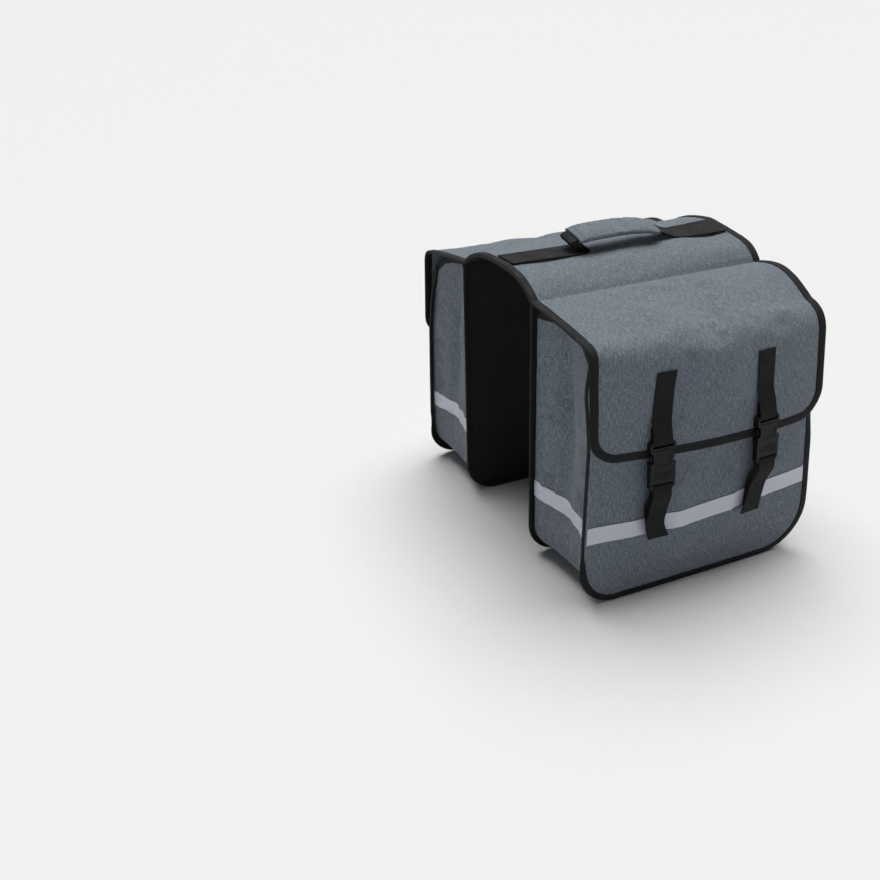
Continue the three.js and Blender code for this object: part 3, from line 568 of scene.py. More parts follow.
def u_stations(half, radii, levels, inset):
    """A U-shaped outline, open at the top: x, z and the outward direction at each station."""
    front, rear = radii
    levels = np.asarray(levels, float)
    turn = np.linspace(0, math.pi / 2, CORNER_STEPS + 1)
    cos, sin = np.cos(turn), np.sin(turn)
    flat = np.arange(1, BOTTOM_STEPS) / BOTTOM_STEPS
    zero = np.zeros_like
    parts = [
        (zero(levels) - half + inset, levels, zero(levels) - 1, zero(levels)),
        (-half + front - cos * (front - inset), front - sin * (front - inset), -cos, -sin),
        (lerp(-half + front, half - rear, flat), zero(flat) + inset, zero(flat), zero(flat) - 1),
        [
            values[::-1]
            for values in (half - rear + cos * (rear - inset), rear - sin * (rear - inset), cos, -sin)
        ],
        (zero(levels) + half - inset, levels[::-1], zero(levels) + 1, zero(levels)),
    ]
    return [np.concatenate(values) for values in zip(*parts)]


def u_grid(stations):
    """Rows from side to side inside a U outline, and the grid point at each of its stations."""
    x, z = stations[:2]
    last = len(x) - 1
    rows = (len(x) + 1 - BOTTOM_STEPS) // 2
    share = np.arange(BOTTOM_STEPS + 1) / BOTTOM_STEPS
    here = np.arange(rows)
    grid_x = lerp(x[here][:, None], x[last - here][:, None], share)
    grid_z = lerp(z[here][:, None], z[last - here][:, None], share)
    columns = BOTTOM_STEPS + 1
    k = np.arange(last + 1)
    rim = np.where(
        k < rows,
        k * columns,
        np.where(k > last - rows, (last - k) * columns + BOTTOM_STEPS, (rows - 1) * columns + k - rows + 1),
    )
    return grid_x, grid_z, rim


def body_point(x, z, depth):
    """A point of the bag, drawn in to its side lines and let down at the rear top."""
    share = np.clip(depth / BAG_DEPTH, 0, 1)
    up = z / MOUTH_HEIGHT
    line = np.where(x < 0, read(SIDE_LINES, "up", "front", up), read(SIDE_LINES, "up", "rear", up))
    settled = REAR_SETTLE * np.clip((z - TAPER_START) / (MOUTH_HEIGHT - TAPER_START), 0, 1)
    rearward = np.clip((x / HALF_LENGTH + 1) / 2, 0, 1)
    depth = depth + 0 * x
    return np.stack([x * lerp(1, line, share), -HALF_GAP - depth, z - settled * rearward * share], axis=-1)


def edge_depth(z):
    return lerp(BAG_DEPTH, MOUTH_DEPTH, smooth((z - TAPER_START) / (MOUTH_HEIGHT - TAPER_START)))


def fullness(x):
    return 1 - np.clip(np.abs(x) / (HALF_LENGTH - SEAM_INSET), 0, 1) ** CROWN_POWER


def calm_by_straps(x):
    """Zero under the closures, where the cloth is held flat, and one away from them."""
    calm = 1
    for closure in CLOSURES:
        calm = calm * (1 - np.exp(-(((x - closure["x"]) / 0.021) ** 4)))
    return calm


def panel_waves(x, z):
    """Waves of the front panel: none at its seams or under the closures."""
    depth = bpy.context.scene.pannier_cloth.wave_depth
    loose = np.clip(fullness(x), 0, 1) ** 0.6 * smooth(z / 0.07)
    waves = ripple(x, z, 21, 0.12, 2.2) + 0.28 * ripple(x, z, 22, 0.05, 3)
    return loose * calm_by_straps(x) * depth * (waves + bumps(PANEL_BUMPS, x, z))


def panel_point(x, z):
    crown = FRONT_CROWN * read(CROWN_LINES, "up", "fullness", z / MOUTH_HEIGHT)
    return body_point(x, z, edge_depth(z) + crown * fullness(x) + panel_waves(x, z))


def body_levels(count=44):
    return np.linspace(MOUTH_HEIGHT, STRAIGHT_END, count)


def flap_value(column, x):
    end = np.where(x < 0, FLAP_SECTIONS["front"][column], FLAP_SECTIONS["rear"][column])
    return lerp(end, FLAP_SECTIONS["middle"][column], fullness(x))


def flap_profile(x):
    """Depth and height from hinge to hem at each x: arched top, bend and front."""
    x = np.asarray(x, float)
    start = np.stack([0 * x + FLAP_START, 0 * x + HINGE_HEIGHT], axis=-1)
    corner = np.stack(
        [flap_value("corner_depth", x) * BAG_DEPTH, flap_value("corner_height", x) * HINGE_HEIGHT], axis=-1
    )
    hem = np.stack([flap_value("hem_depth", x) * BAG_DEPTH, 0 * x + HEM_HEIGHT], axis=-1)
    bend = (flap_value("bend", x) * HINGE_HEIGHT)[..., None]
    arch = flap_value("arch", x) * HINGE_HEIGHT
    bend_start = corner + unit(start - corner) * bend
    bend_end = corner + unit(hem - corner) * bend
    profile = []
    for share in np.linspace(0, 1, 25)[:-1]:
        point = lerp(start, bend_start, share)
        point[..., 1] += arch * math.sin(math.pi * share)
        profile.append(point)
    for share in np.linspace(0, 1, 17):
        profile.append((1 - share) ** 2 * bend_start + 2 * share * (1 - share) * corner + share**2 * bend_end)
    profile.append(hem)
    return np.stack(profile, axis=-2)


def profile_lengths(profile):
    steps = np.linalg.norm(np.diff(profile, axis=-2), axis=-1)
    return np.concatenate([np.zeros_like(steps[..., :1]), np.cumsum(steps, axis=-1)], axis=-1)


FLAP_LENGTH = float(profile_lengths(flap_profile(np.array([0.0])))[0, -1])


def flap_point(x, level):
    """A point of the flap at x and at a length up from the hem."""
    shape = x.shape
    x, level = x.ravel(), np.broadcast_to(level, shape).ravel()
    profile = flap_profile(x)
    lengths = profile_lengths(profile)
    along = (1 - level / FLAP_LENGTH) * lengths[:, -1]
    i = np.clip((lengths <= along[:, None]).sum(axis=1) - 1, 0, lengths.shape[1] - 2)
    n = np.arange(len(x))
    share = np.clip((along - lengths[n, i]) / (lengths[n, i + 1] - lengths[n, i]), 0, 1)
    at = lerp(profile[n, i], profile[n, i + 1], share[:, None])
    return np.column_stack([x, -HALF_GAP - at[:, 0], at[:, 1]]).reshape(*shape, 3)


def flap_waves(x, level):
    """Waves of the flap: long low ones on its top, and a crease above the rear closure."""
    depth = bpy.context.scene.pannier_cloth.wave_depth
    loose = np.clip(fullness(x), 0, 1) ** 0.5 * smooth(level / 0.05) * smooth((FLAP_LENGTH - level) / 0.03)
    front = smooth((0.13 - level) / 0.03)
    waves = ripple(x, level, 31, 0.15, 0.8) * lerp(0.8, 0.6, front) + 0.3 * ripple(x, level, 32, 0.05, 0.7)
    return loose * calm_below(x, level) * depth * (waves + bumps(FLAP_BUMPS, x, level))


def calm_below(x, level):
    """Calm under the closures on the flap's front, and one on its top."""
    return lerp(1, calm_by_straps(x), smooth((0.125 - level) / 0.02))


def flap_face(x, z):
    """Depth of the flat front of the flap."""
    x = np.asarray(x, float)
    hem = flap_value("hem_depth", x) * BAG_DEPTH
    corner = flap_value("corner_depth", x) * BAG_DEPTH
    height = flap_value("corner_height", x) * HINGE_HEIGHT
    return float(lerp(hem, corner, (z - HEM_HEIGHT) / (height - HEM_HEIGHT)))


def bridge_point(x, across):
    along = x / HALF_LENGTH
    rise = read(BRIDGE_SECTIONS, "along", "rise", along) * HALF_GAP
    squareness = read(BRIDGE_SECTIONS, "along", "squareness", along)
    across = np.asarray(across)
    lower = REAR_DROP * smooth(across / 0.8) + read(NEAR_DROP, "across", "drop", across)
    rise = rise * (1 - lower * smooth(along))
    z = HINGE_HEIGHT + rise * (1 - np.abs(across) ** squareness)
    return np.stack([x + 0 * across, across * (HALF_GAP - BRIDGE_INSET) + 0 * x, z], axis=-1)


def settle_cloth(points, quads, held, pressure, slack, cap, frames=14):
    """Let a surface settle as cloth that is held at its seams, each point moving at most cap."""
    cloth = bpy.data.objects.new("settling", mesh_of("settling", Shape(points, quads)))
    scene = bpy.context.scene
    scene.collection.objects.link(cloth)
    group = cloth.vertex_groups.new(name="held")
    for weight in np.unique(np.round(held, 1)):
        if weight > 0:
            chosen = np.flatnonzero(np.isclose(np.round(held, 1), weight))
            group.add(chosen.tolist(), float(weight), "REPLACE")
    modifier = cloth.modifiers.new("Settling", "CLOTH")
    settings = modifier.settings
    for name, value in CLOTH_SETTINGS.items():
        setattr(settings, name, value)
    settings.shrink_min = -slack
    settings.shrink_max = -slack
    settings.use_pressure = pressure != 0
    settings.uniform_pressure_force = pressure
    settings.effector_weights.gravity = 0
    modifier.collision_settings.use_collision = False
    modifier.point_cache.frame_start = 1
    modifier.point_cache.frame_end = frames
    for number in range(1, frames + 1):
        scene.frame_set(number)
    evaluated = cloth.evaluated_get(bpy.context.evaluated_depsgraph_get())
    moved = np.zeros(len(points) * 3, np.float32)
    evaluated.data.vertices.foreach_get("co", moved)
    scene.frame_set(1)
    mesh = cloth.data
    bpy.data.objects.remove(cloth)
    bpy.data.meshes.remove(mesh)
    change = moved.reshape(-1, 3).astype(float) - points
    if not np.isfinite(change).all():
        raise RuntimeError("the cloth did not settle")
    far = np.linalg.norm(change, axis=1, keepdims=True)
    change = change * np.minimum(1, cap / np.maximum(far, 1e-9)) * (1 - held)[:, None]
    return points + change


class NodeMaker:
    """Short calls that add and link the nodes of one tree."""

    def __init__(self, tree):
        self.tree = tree

    def add(self, kind, inputs=None, **settings):
        node = self.tree.nodes.new(kind)
        for name, value in settings.items():
            setattr(node, name, value)
        for name, value in (inputs or {}).items():
            self.feed(node.inputs[name], value)
        return node

    def feed(self, socket, value):
        if isinstance(value, bpy.types.NodeSocket):
            self.tree.links.new(value, socket)
        else:
            socket.default_value = value

    def math(self, operation, a, b=0.0, clamp=False):
        return self.add("ShaderNodeMath", {0: a, 1: b}, operation=operation, use_clamp=clamp).outputs[0]

    def mix(self, factor, a, b):
        node = self.add("ShaderNodeMix", {0: factor, 6: a, 7: b}, data_type="RGBA")
        return node.outputs[2]

    def noise(self, vector, size, detail=2.0, flat=False):
        inputs = {"Vector": vector, "Scale": 1 / size, "Detail": detail}
        return self.add("ShaderNodeTexNoise", inputs, noise_dimensions="2D" if flat else "3D").outputs["Fac"]

    def stretched(self, vector, sizes):
        scale = tuple(1 / size for size in sizes) + (1,)
        return self.add("ShaderNodeVectorMath", {0: vector, 1: scale}, operation="MULTIPLY").outputs[0]

    def range(self, value, low, high, to_low=0.0, to_high=1.0):
        inputs = {"Value": value, "From Min": low, "From Max": high, "To Min": to_low, "To Max": to_high}
        return self.add("ShaderNodeMapRange", inputs, interpolation_type="SMOOTHSTEP").outputs[0]

    def split(self, vector):
        return self.add("ShaderNodeSeparateXYZ", {"Vector": vector}).outputs

    def wave(self, value, size):
        return self.math("SINE", self.math("MULTIPLY", value, TURN / size))


def shader_group(name, inputs, outputs, build):
    """A shared node group, built once. Inputs are name, socket kind and default."""
    tree = bpy.data.node_groups.get(name)
    if tree is None:
        tree = bpy.data.node_groups.new(name, "ShaderNodeTree")
        for label, kind, default in inputs:
            socket = tree.interface.new_socket(label, in_out="INPUT", socket_type=kind)
            if default is not None:
                socket.default_value = default
        for label, kind in outputs:
            tree.interface.new_socket(label, in_out="OUTPUT", socket_type=kind)
        maker = NodeMaker(tree)
        given = maker.add("NodeGroupInput").outputs
        result = maker.add("NodeGroupOutput")
        for label, socket in build(maker, given).items():
            tree.links.new(socket, result.inputs[label])
    return tree


COLOUR, NUMBER, VECTOR = "NodeSocketColor", "NodeSocketFloat", "NodeSocketVector"
SURFACE = (("Colour", COLOUR), ("Height", NUMBER), ("Roughness", NUMBER))


def heather_group():
    """Plain weave of two-tone threads: long light and dark flecks along warp and weft."""

    def build(maker, given):
        place = given["Place"]
        u, v, _ = maker.split(place)
        warp = maker.noise(maker.stretched(place, (0.0009, 0.0085)), 1, 1, True)
        weft = maker.noise(maker.stretched(place, (0.0048, 0.0008)), 1, 1, True)
        weave = maker.math("MULTIPLY", maker.wave(u, 0.0011), maker.wave(v, 0.0011))
        over = maker.range(weave, -0.35, 0.35)
        thread = maker.add("ShaderNodeMix", {0: over, 2: warp, 3: weft}).outputs[0]
        light = maker.range(thread, 0.5, 0.72)
        dark = maker.range(thread, 0.5, 0.3)
        light = maker.math("MULTIPLY", light, given["Fleck"])
        dark = maker.math("MULTIPLY", dark, given["Fleck"])
        colour = maker.mix(light, given["Thread"], given["Light Fleck"])
        colour = maker.mix(dark, colour, given["Dark Fleck"])
        slub = maker.math("MULTIPLY", thread, 0.5)
        height = maker.math("ADD", maker.math("MULTIPLY", maker.math("ABSOLUTE", weave), 0.6), slub)
        rough = maker.range(thread, 0.3, 0.7, 0.86, 0.97)
        return {"Colour": colour, "Height": height, "Roughness": rough}

    inputs = [
        ("Place", VECTOR, None),
        ("Thread", COLOUR, (0.2, 0.2, 0.2, 1)),
        ("Light Fleck", COLOUR, (0.5, 0.5, 0.5, 1)),
        ("Dark Fleck", COLOUR, (0.05, 0.05, 0.05, 1)),
        ("Fleck", NUMBER, 0.6),
    ]
    return shader_group("Heather Weave", inputs, SURFACE, build)


def ribbed_group():
    """Ribs across a tape or strap, with a finer thread along it, slight fading, and painted shade in the
    grooves between the ribs.
    """

    def build(maker, given):
        place = given["Place"]
        u, v, _ = maker.split(place)
        rib = maker.math("MULTIPLY", v, given["Ribs"])
        slant = maker.math("MULTIPLY", maker.math("PINGPONG", u, 0.0031), given["Slant"])
        rib = maker.math("SINE", maker.math("ADD", rib, slant))
        thread = maker.wave(u, 0.0009)
        fuzz = maker.noise(maker.stretched(place, (0.0005, 0.0016)), 1, 2, True)
        height = maker.math("ADD", maker.math("MULTIPLY", rib, 0.35), maker.math("MULTIPLY", thread, 0.12))
        height = maker.math("ADD", height, maker.math("MULTIPLY", fuzz, 0.5))
        # Painted shade: the grooves between the ribs are darkened toward the groove colour, and the fuzz adds
        # random darker and lighter fibres.
        groove_shade_and_fuzz = maker.math("ADD", maker.range(rib, -1, 1, 0, 0.5), maker.range(fuzz, 0.3, 0.7, 0, 0.5))
        fade = maker.range(maker.noise(place, 0.045, 3, True), 0.35, 0.7, 0, 0.35)
        colour = maker.mix(groove_shade_and_fuzz, given["Painted Groove Shade"], given["Thread"])
        colour = maker.mix(fade, colour, given["Faded"])
        return {"Colour": colour, "Height": height, "Roughness": maker.range(fuzz, 0.3, 0.7, 0.6, 0.85)}

    inputs = [
        ("Place", VECTOR, None),
        ("Thread", COLOUR, (0.02, 0.02, 0.02, 1)),
        ("Painted Groove Shade", COLOUR, (0.005, 0.005, 0.005, 1)),
        ("Faded", COLOUR, (0.03, 0.03, 0.03, 1)),
        ("Ribs", NUMBER, 6000.0),
        ("Slant", NUMBER, 0.0),
    ]
    return shader_group("Ribbed Weave", inputs, SURFACE, build)


def grain_group():
    """Fine pebbled grain with scuffs, for coated board and moulded plastic."""

    def build(maker, given):
        place = maker.add("ShaderNodeTexCoord").outputs["Object"]
        pebble = maker.add("ShaderNodeTexVoronoi", {"Vector": place, "Scale": given["Grain"]})
        cloud = maker.noise(place, 0.02, 4)
        scuff = maker.range(maker.noise(maker.stretched(place, (0.003, 0.03)), 1, 4), 0.62, 0.75)
        height = maker.math("ADD", pebble.outputs["Distance"], maker.math("MULTIPLY", cloud, 0.4))
        colour = maker.mix(maker.range(cloud, 0.35, 0.65, 0, 0.4), given["Base"], given["Worn"])
        colour = maker.mix(maker.math("MULTIPLY", scuff, 0.3), colour, given["Worn"])
        rough = maker.math("ADD", maker.range(cloud, 0.3, 0.7, -0.06, 0.08), given["Roughness"])
        return {"Colour": colour, "Height": height, "Roughness": rough}

    inputs = [
        ("Base", COLOUR, (0.01, 0.01, 0.01, 1)),
        ("Worn", COLOUR, (0.03, 0.03, 0.03, 1)),
        ("Grain", NUMBER, 1500.0),
        ("Roughness", NUMBER, 0.5),
    ]
    return shader_group("Pebble Grain", inputs, SURFACE, build)


def dust_group():
    """A thin veil of dust on faces that look up."""

    def build(maker, given):
        up = maker.split(maker.add("ShaderNodeNewGeometry").outputs["Normal"])[2]
        place = maker.add("ShaderNodeTexCoord").outputs["Object"]
        patches = maker.range(maker.noise(place, 0.014, 5), 0.42, 0.68)
        amount = maker.math("MULTIPLY", maker.range(up, 0.2, 1), patches)
        amount = maker.math("MULTIPLY", amount, given["Amount"])
        return {"Colour": maker.mix(amount, given["Colour"], given["Dust"])}

    inputs = [
        ("Colour", COLOUR, (0.1, 0.1, 0.1, 1)),
        ("Dust", COLOUR, (0.3, 0.29, 0.27, 1)),
        ("Amount", NUMBER, 0.1),
    ]
    return shader_group("Settled Dust", inputs, [("Colour", COLOUR)], build)


def finish_material(name, group, values, depth, dust, shader, mapped=True):
    """A material of one surface group, the dust group, a bump and a Principled shader."""
    material = bpy.data.materials.get(name)
    if material is not None:
        return material
    material = bpy.data.materials.new(name)
    material.use_nodes = True
    material.node_tree.nodes.clear()
    maker = NodeMaker(material.node_tree)
    surface = maker.add("ShaderNodeGroup", node_tree=group)
    if mapped:
        maker.feed(surface.inputs["Place"], maker.add("ShaderNodeUVMap", uv_map=CLOTH_MAP).outputs[0])
    for label, value in values.items():
        surface.inputs[label].default_value = value
    veil = maker.add("ShaderNodeGroup", {}, node_tree=dust_group())
    maker.feed(veil.inputs["Colour"], surface.outputs["Colour"])
    veil.inputs["Amount"].default_value = dust
    relief = {"Height": surface.outputs["Height"], "Distance": depth, "Strength": 1.0}
    bump = maker.add("ShaderNodeBump", relief)
    inputs = {
        "Base Color": veil.outputs["Colour"],
        "Roughness": surface.outputs["Roughness"],
        "Normal": bump.outputs[0],
    }
    principled = maker.add("ShaderNodeBsdfPrincipled", {**inputs, **shader})
    output = maker.add("ShaderNodeOutputMaterial")
    material.node_tree.links.new(principled.outputs[0], output.inputs["Surface"])
    return material


def rgba(colour):
    return (*colour, 1.0)


def shade_of(colour, factor):
    return rgba(channel * factor for channel in colour)


def woven(colour, groove_shade, faded, rib, slanted=False):
    """Values of the ribbed weave: a colour, its darker colour painted as shade in the grooves, the colour of
    its fading, and its ribs' spacing.
    """
    turns = TURN / rib
    return {
        "Thread": rgba(colour),
        "Painted Groove Shade": shade_of(colour, groove_shade),
        "Faded": shade_of(colour, faded),
        "Ribs": turns,
        "Slant": turns if slanted else 0.0,
    }


def grained(name, colour, worn, grain, roughness, depth, dust, shine):
    """A material of the pebbled grain."""
    values = {"Base": rgba(colour), "Worn": shade_of(colour, worn), "Grain": grain, "Roughness": roughness}
    shader = {"Specular IOR Level": shine}
    return finish_material(name, grain_group(), values, depth, dust, shader, mapped=False)


def heather_material():
    cloth = bpy.context.scene.pannier_cloth
    values = {
        "Thread": rgba(cloth.thread),
        "Light Fleck": rgba(cloth.light_fleck),
        "Dark Fleck": rgba(cloth.dark_fleck),
        "Fleck": cloth.fleck,
    }
    shader = {"Sheen Weight": 0.12, "Sheen Roughness": 0.5, "Specular IOR Level": 0.25}
    return finish_material("Heather cloth", heather_group(), values, 0.00018, 0.05, shader)


def tape_material():
    values = woven(bpy.context.scene.pannier_trim.tape, 0.45, 1.6, 0.0011)
    shader = {"Sheen Weight": 0.02, "Specular IOR Level": 0.2}
    return finish_material("Binding tape", ribbed_group(), values, 0.00012, 0.04, shader)


def webbing_material():
    values = woven(bpy.context.scene.pannier_trim.webbing, 0.4, 1.7, 0.0016, slanted=True)
    return finish_material("Webbing", ribbed_group(), values, 0.0002, 0.02, {"Specular IOR Level": 0.22})


def board_material():
    colour = bpy.context.scene.pannier_trim.board
    return grained("Coated board", colour, 2.2, 900.0, 0.72, depth=0.00015, dust=0.06, shine=0.35)


def plastic_material():
    colour = bpy.context.scene.pannier_buckle.plastic
    return grained("Moulded plastic", colour, 2.0, 2600.0, 0.42, depth=0.00004, dust=0.02, shine=0.2)


def band_material():
    values = woven(bpy.context.scene.pannier_trim.band, 0.9, 0.94, 0.0009, slanted=True)
    shader = {"Metallic": 0.25, "Coat Weight": 0.2}
    return finish_material("Reflective band", ribbed_group(), values, 0.00003, 0.02, shader)


def thread_material(name, colour):
    return grained(name, colour, 1.4, 3000.0, 0.6, depth=0.00002, dust=0.0, shine=0.4)


def black_thread():
    return thread_material("Black thread", BLACK_THREAD)


SLOT_MATERIALS = {
    "heather_fabric": heather_material,
    "binding_tape": tape_material,
    "webbing": webbing_material,
    "black_board": board_material,
    "buckle_plastic": plastic_material,
    "reflective_band": band_material,
}


def place_stitches(name, rows, material, slot):
    """Rows are lines of points with their normals."""
    trim = bpy.context.scene.pannier_trim
    sizes = (trim.stitch_length, trim.stitch_pitch, trim.stitch_radius)
    shapes = [stitch_row(line, normals, *sizes) for line, normals in rows]
    return place_piece(name, mesh_of(name, joined(shapes)), slot, material=material)


def board_stations(inset):
    levels = np.linspace(BACK_HEIGHT, STRAIGHT_END, 30)
    return u_stations(HALF_LENGTH, BODY_RADII, levels, inset)


def back_plane(stations):
    """Points of a U outline on the bag's back."""
    x, z = stations[:2]
    return np.column_stack([x, 0 * x - HALF_GAP, z])


def board_shape():
    """The back board, with a quilted swell on its inner face."""
    x, z, _ = u_grid(board_stations(TAPE_OVER))
    swell = 0.0009 * np.clip(fullness(x), 0, 1) ** 0.3 * smooth((BACK_HEIGHT - z) / 0.02) * smooth(z / 0.03)
    quilt = swell * (0.55 + 0.25 * ripple(x, z, 5, 0.09))
    grid = np.stack([x, 0 * x - HALF_GAP, z], axis=-1)
    shape = grid_sheet(grid, np.stack([x, z], axis=-1), BOARD - 0.0002)
    inner = len(shape.points) // 2
    shape.points[inner:, 1] += quilt.ravel()
    return shape


def flange_lean(z, out_x, out_z):
    """How far the front seam leans back: least along the bottom and at the rear below the flap."""
    square = 0.85 * np.clip(out_x, 0, 1) ** 2 * smooth((0.2 - z) / 0.05) + 0.55 * np.clip(-out_z, 0, 1) ** 2
    return lerp(FLANGE_LEAN * (1 - np.clip(square, 0, 1)), FRONT_LEAN, front_side(z, out_x))


def front_side(z, out_x):
    """One along the upright front seam, and zero round the corner below it."""
    return np.clip(-out_x, 0, 1) ** 2 * smooth((z - 0.03) / 0.05)


def front_reach(z, out_x):
    """How far the upright front seam is let out, less toward the mouth."""
    return FRONT_REACH * front_side(z, out_x) * lerp(1, 0.1, smooth((z - 0.265) / 0.04))


def edged(points, quads, rim, edge):
    """A patch with a strip of faces from its rim to an edge beyond it."""
    k = np.arange(len(rim) - 1)
    strip = np.column_stack([len(points) + k, len(points) + k + 1, rim[k + 1], rim[k]])
    return np.vstack([points, edge]), np.vstack([quads, strip])


def front_surface():
    """The front panel: a crowned patch and the flange beyond its seam, which leans back."""
    stations = u_stations(HALF_LENGTH, BODY_RADII, body_levels(), SEAM_INSET)
    stations[0] = stations[0] - front_reach(stations[1], stations[2])
    x, z, rim = u_grid(stations)
    points = panel_point(x, z).reshape(-1, 3)
    quads = grid_quads(*x.shape)
    loose = np.clip(fullness(x), 0, 1) * smooth(z / 0.05) * calm_by_straps(x)
    held = np.clip(1.15 - 1.2 * loose, 0, 1).ravel()
    points = settle_cloth(points, quads, held, *cloth_settling(1.0))
    seam = points[rim]
    out = np.column_stack([stations[2], 0 * stations[2], stations[3]])
    lean = flange_lean(*stations[1:])
    reach = (SEAM_INSET - CLOTH_TAPE_HALF * np.sin(lean) - TAPE_OVER * np.cos(lean)) / np.cos(lean)
    reach = np.minimum(reach, lerp(FLANGE, FRONT_FLANGE, front_side(stations[1], stations[2])))
    edge = seam + out * (reach * np.cos(lean))[:, None]
    edge[:, 1] += reach * np.sin(lean)
    flat = np.column_stack([x.ravel(), z.ravel()])
    places = np.vstack([flat, flat[rim] + out[:, [0, 2]] * FLANGE])
    return *edged(points, quads, rim, edge), places, edge, seam


def cloth_settling(share):
    """Pressure, slack and the most that a point may move."""
    cloth = bpy.context.scene.pannier_cloth
    return 0.6 * share, cloth.slack, cloth.settle_cap * share


def make_front_panels():
    """The front panels with their tapes and bands. Gives the places of the stitches."""
    points, quads, places, edge, seam = front_surface()
    shape = thick_sheet(points, quads, places, CLOTH)
    tape, rows = folded_tape(edge, seam, CLOTH / 2, seed=41)
    half = HALF_LENGTH - SEAM_INSET
    band_x = lerp(-half, half, np.linspace(0, 1, BOTTOM_STEPS + 1))
    band_z = np.linspace(BAND_HIGH, BAND_LOW, 9)[:, None] + BAND_RISE * smooth((band_x + 0.04) / 0.13)
    stations = u_stations(HALF_LENGTH, BODY_RADII, body_levels(), SEAM_INSET)
    band = surface_at(points, stations, band_x, band_z)
    spots = np.stack(np.broadcast_arrays(band_x[None], band_z), axis=-1)
    band = grid_sheet(band, spots, BAND, BAND_LIFT)
    for side in SIDES:
        panel = place_side(side, "front_cloth", shape, "heather_fabric", "front_panel")
        place_side(side, "front_tape", tape, "binding_tape", "front_binding")
        place_side(side, "front_band", band, "reflective_band", "front_reflector")
    return rows


def surface_at(points, stations, x, z):
    """Points of the settled front panel at places on its straight-sided part."""
    grid_x, grid_z, _ = u_grid(stations)
    rows = len(body_levels())
    columns = grid_x.shape[1]
    grid = points[: grid_x.size].reshape(*grid_x.shape, 3)[:rows]
    row = np.interp(z, grid_z[:rows, 0][::-1], np.arange(rows)[::-1])
    column = (x - grid_x[0, 0]) / (grid_x[0, -1] - grid_x[0, 0]) * (columns - 1)
    row, column = np.broadcast_arrays(row, column)
    r = np.clip(row.astype(int), 0, rows - 2)
    c = np.clip(column.astype(int), 0, columns - 2)
    down, right = (row - r)[..., None], (column - c)[..., None]
    above = lerp(grid[r, c], grid[r, c + 1], right)
    below = lerp(grid[r + 1, c], grid[r + 1, c + 1], right)
    return lerp(above, below, down)


def gusset_grid(levels, columns=34):
    """Gusset points: one row for each station round the bag, one column for each step of its depth."""
    stations = u_stations(HALF_LENGTH, BODY_RADII, levels, SEAM_INSET + WALL_INSET)
    x, z, out_x, out_z = (values[:, None] for values in stations)
    depths = np.linspace(0, 1, columns)[None]
    crease = lerp(*CREASE_DEPTHS, np.clip(z / MOUTH_HEIGHT, 0, 1))
    beside = [np.minimum((depths + s) / crease, (1 - depths - s) / (1 - crease)) for s in (-0.02, 0, 0.02)]
    pinch = np.clip(np.mean(beside, axis=0), 0, 1)
    pinch = lerp(pinch, pinch**2, 0.6)
    top = np.interp(depths, GUSSET_FOLDS["depth"], GUSSET_FOLDS["top"])
    back = BOARD_TAPE_HALF + GAP
    front = CLOTH / 2 + 2 * GAP
    depth = lerp(back, edge_depth(z) - front, depths)
    pull = read(PINCH_LINES, "up", "pull", z / MOUTH_HEIGHT)
    below = np.maximum(0, -out_z) ** 2
    drawn = pinch * (GUSSET_PINCH * pull * (1 - below) - BOTTOM_SAG * below)
    upward = np.clip((z - GUSSET_RISE_START) / (MOUTH_HEIGHT - GUSSET_RISE_START), 0, 1)
    rise = smooth(upward)
    height = lerp(z, lerp(MOUTH_HEIGHT, HINGE_HEIGHT, top), upward)
    waves = 1.1 * ripple(depth, z, 51, 0.06, 3.5) + 0.4 * ripple(depth, z, 52, 0.03, 3)
    waves = waves * bpy.context.scene.pannier_cloth.wave_depth
    waves = waves * smooth(depths / 0.2) * smooth((1 - depths) / 0.2) * (1 - below) * (1 - rise)
    reach = BACK_REACH * smooth(1 - 2 * depths) + 0.55 * front_reach(z, out_x) * depths
    grid = body_point(x, height, depth)
    inward = -np.concatenate([out_x, 0 * out_x, out_z], axis=1)[:, None]
    around = lengths_along(np.column_stack([stations[0], 0 * stations[0], stations[1]]))
    places = np.stack(np.broadcast_arrays(depth, -around[:, None]), axis=-1)
    return grid + inward * (drawn + waves - reach)[..., None], places


def make_gussets():
    """The gussets with their bands and mouth tapes. Gives the places of the stitches."""
    levels = body_levels(56)
    count = len(levels)
    grid, places = gusset_grid(levels)
    rows, columns = grid.shape[:2]
    quads = grid_quads(rows, columns)
    edges = np.minimum(np.arange(columns), np.arange(columns)[::-1]) / 5
    held = np.clip(1 - np.broadcast_to(edges, (rows, columns)), 0.1, 1)
    bottom = smooth((0.05 - grid[..., 2]) / 0.02)
    mouth = smooth((grid[..., 2] - grid[0][None, :, 2] + 0.03) / 0.015)
    held = np.maximum(np.maximum(held, bottom), mouth).ravel()
    points = settle_cloth(grid.reshape(-1, 3), quads, held, *cloth_settling(-0.6))
    grid = points.reshape(rows, columns, 3)
    shape = grid_sheet(grid, places, CLOTH)
    bands, tapes, seams = [], [], []
    for step, rise in ((1, 0), (-1, BAND_RISE)):
        ordered, flat = grid[::step], places[::step]
        heights = ordered[:count, 0, 2]
        chosen = (heights < BAND_HIGH + 0.018) & (heights > BAND_LOW - 0.012)
        strip, strip_map = even_rows(ordered[:count][chosen], flat[:count][chosen], columns, rise)
        bands.append(grid_sheet(strip[::step], strip_map[::step], BAND, BAND_LIFT))
        top = ordered[0][: columns - 1]
        down = unit(ordered[3][: columns - 1] - top) * MOUTH_TAPE
        tape, rows_of_stitches = folded_tape(top[::-step], (top + down)[::-step], CLOTH / 2, seed=61)
        tapes.append(tape)
        seams += rows_of_stitches
    for side in SIDES:
        gusset = place_side(side, "gusset_cloth", shape, "heather_fabric", "gusset")
        for end, band, tape in zip(("front", "rear"), bands, tapes):
            place_side(side, f"gusset_band_{end}", band, "reflective_band", f"gusset_reflector_{end}")
            place_side(side, f"mouth_tape_{end}", tape, "binding_tape", f"mouth_binding_{end}")
    return seams


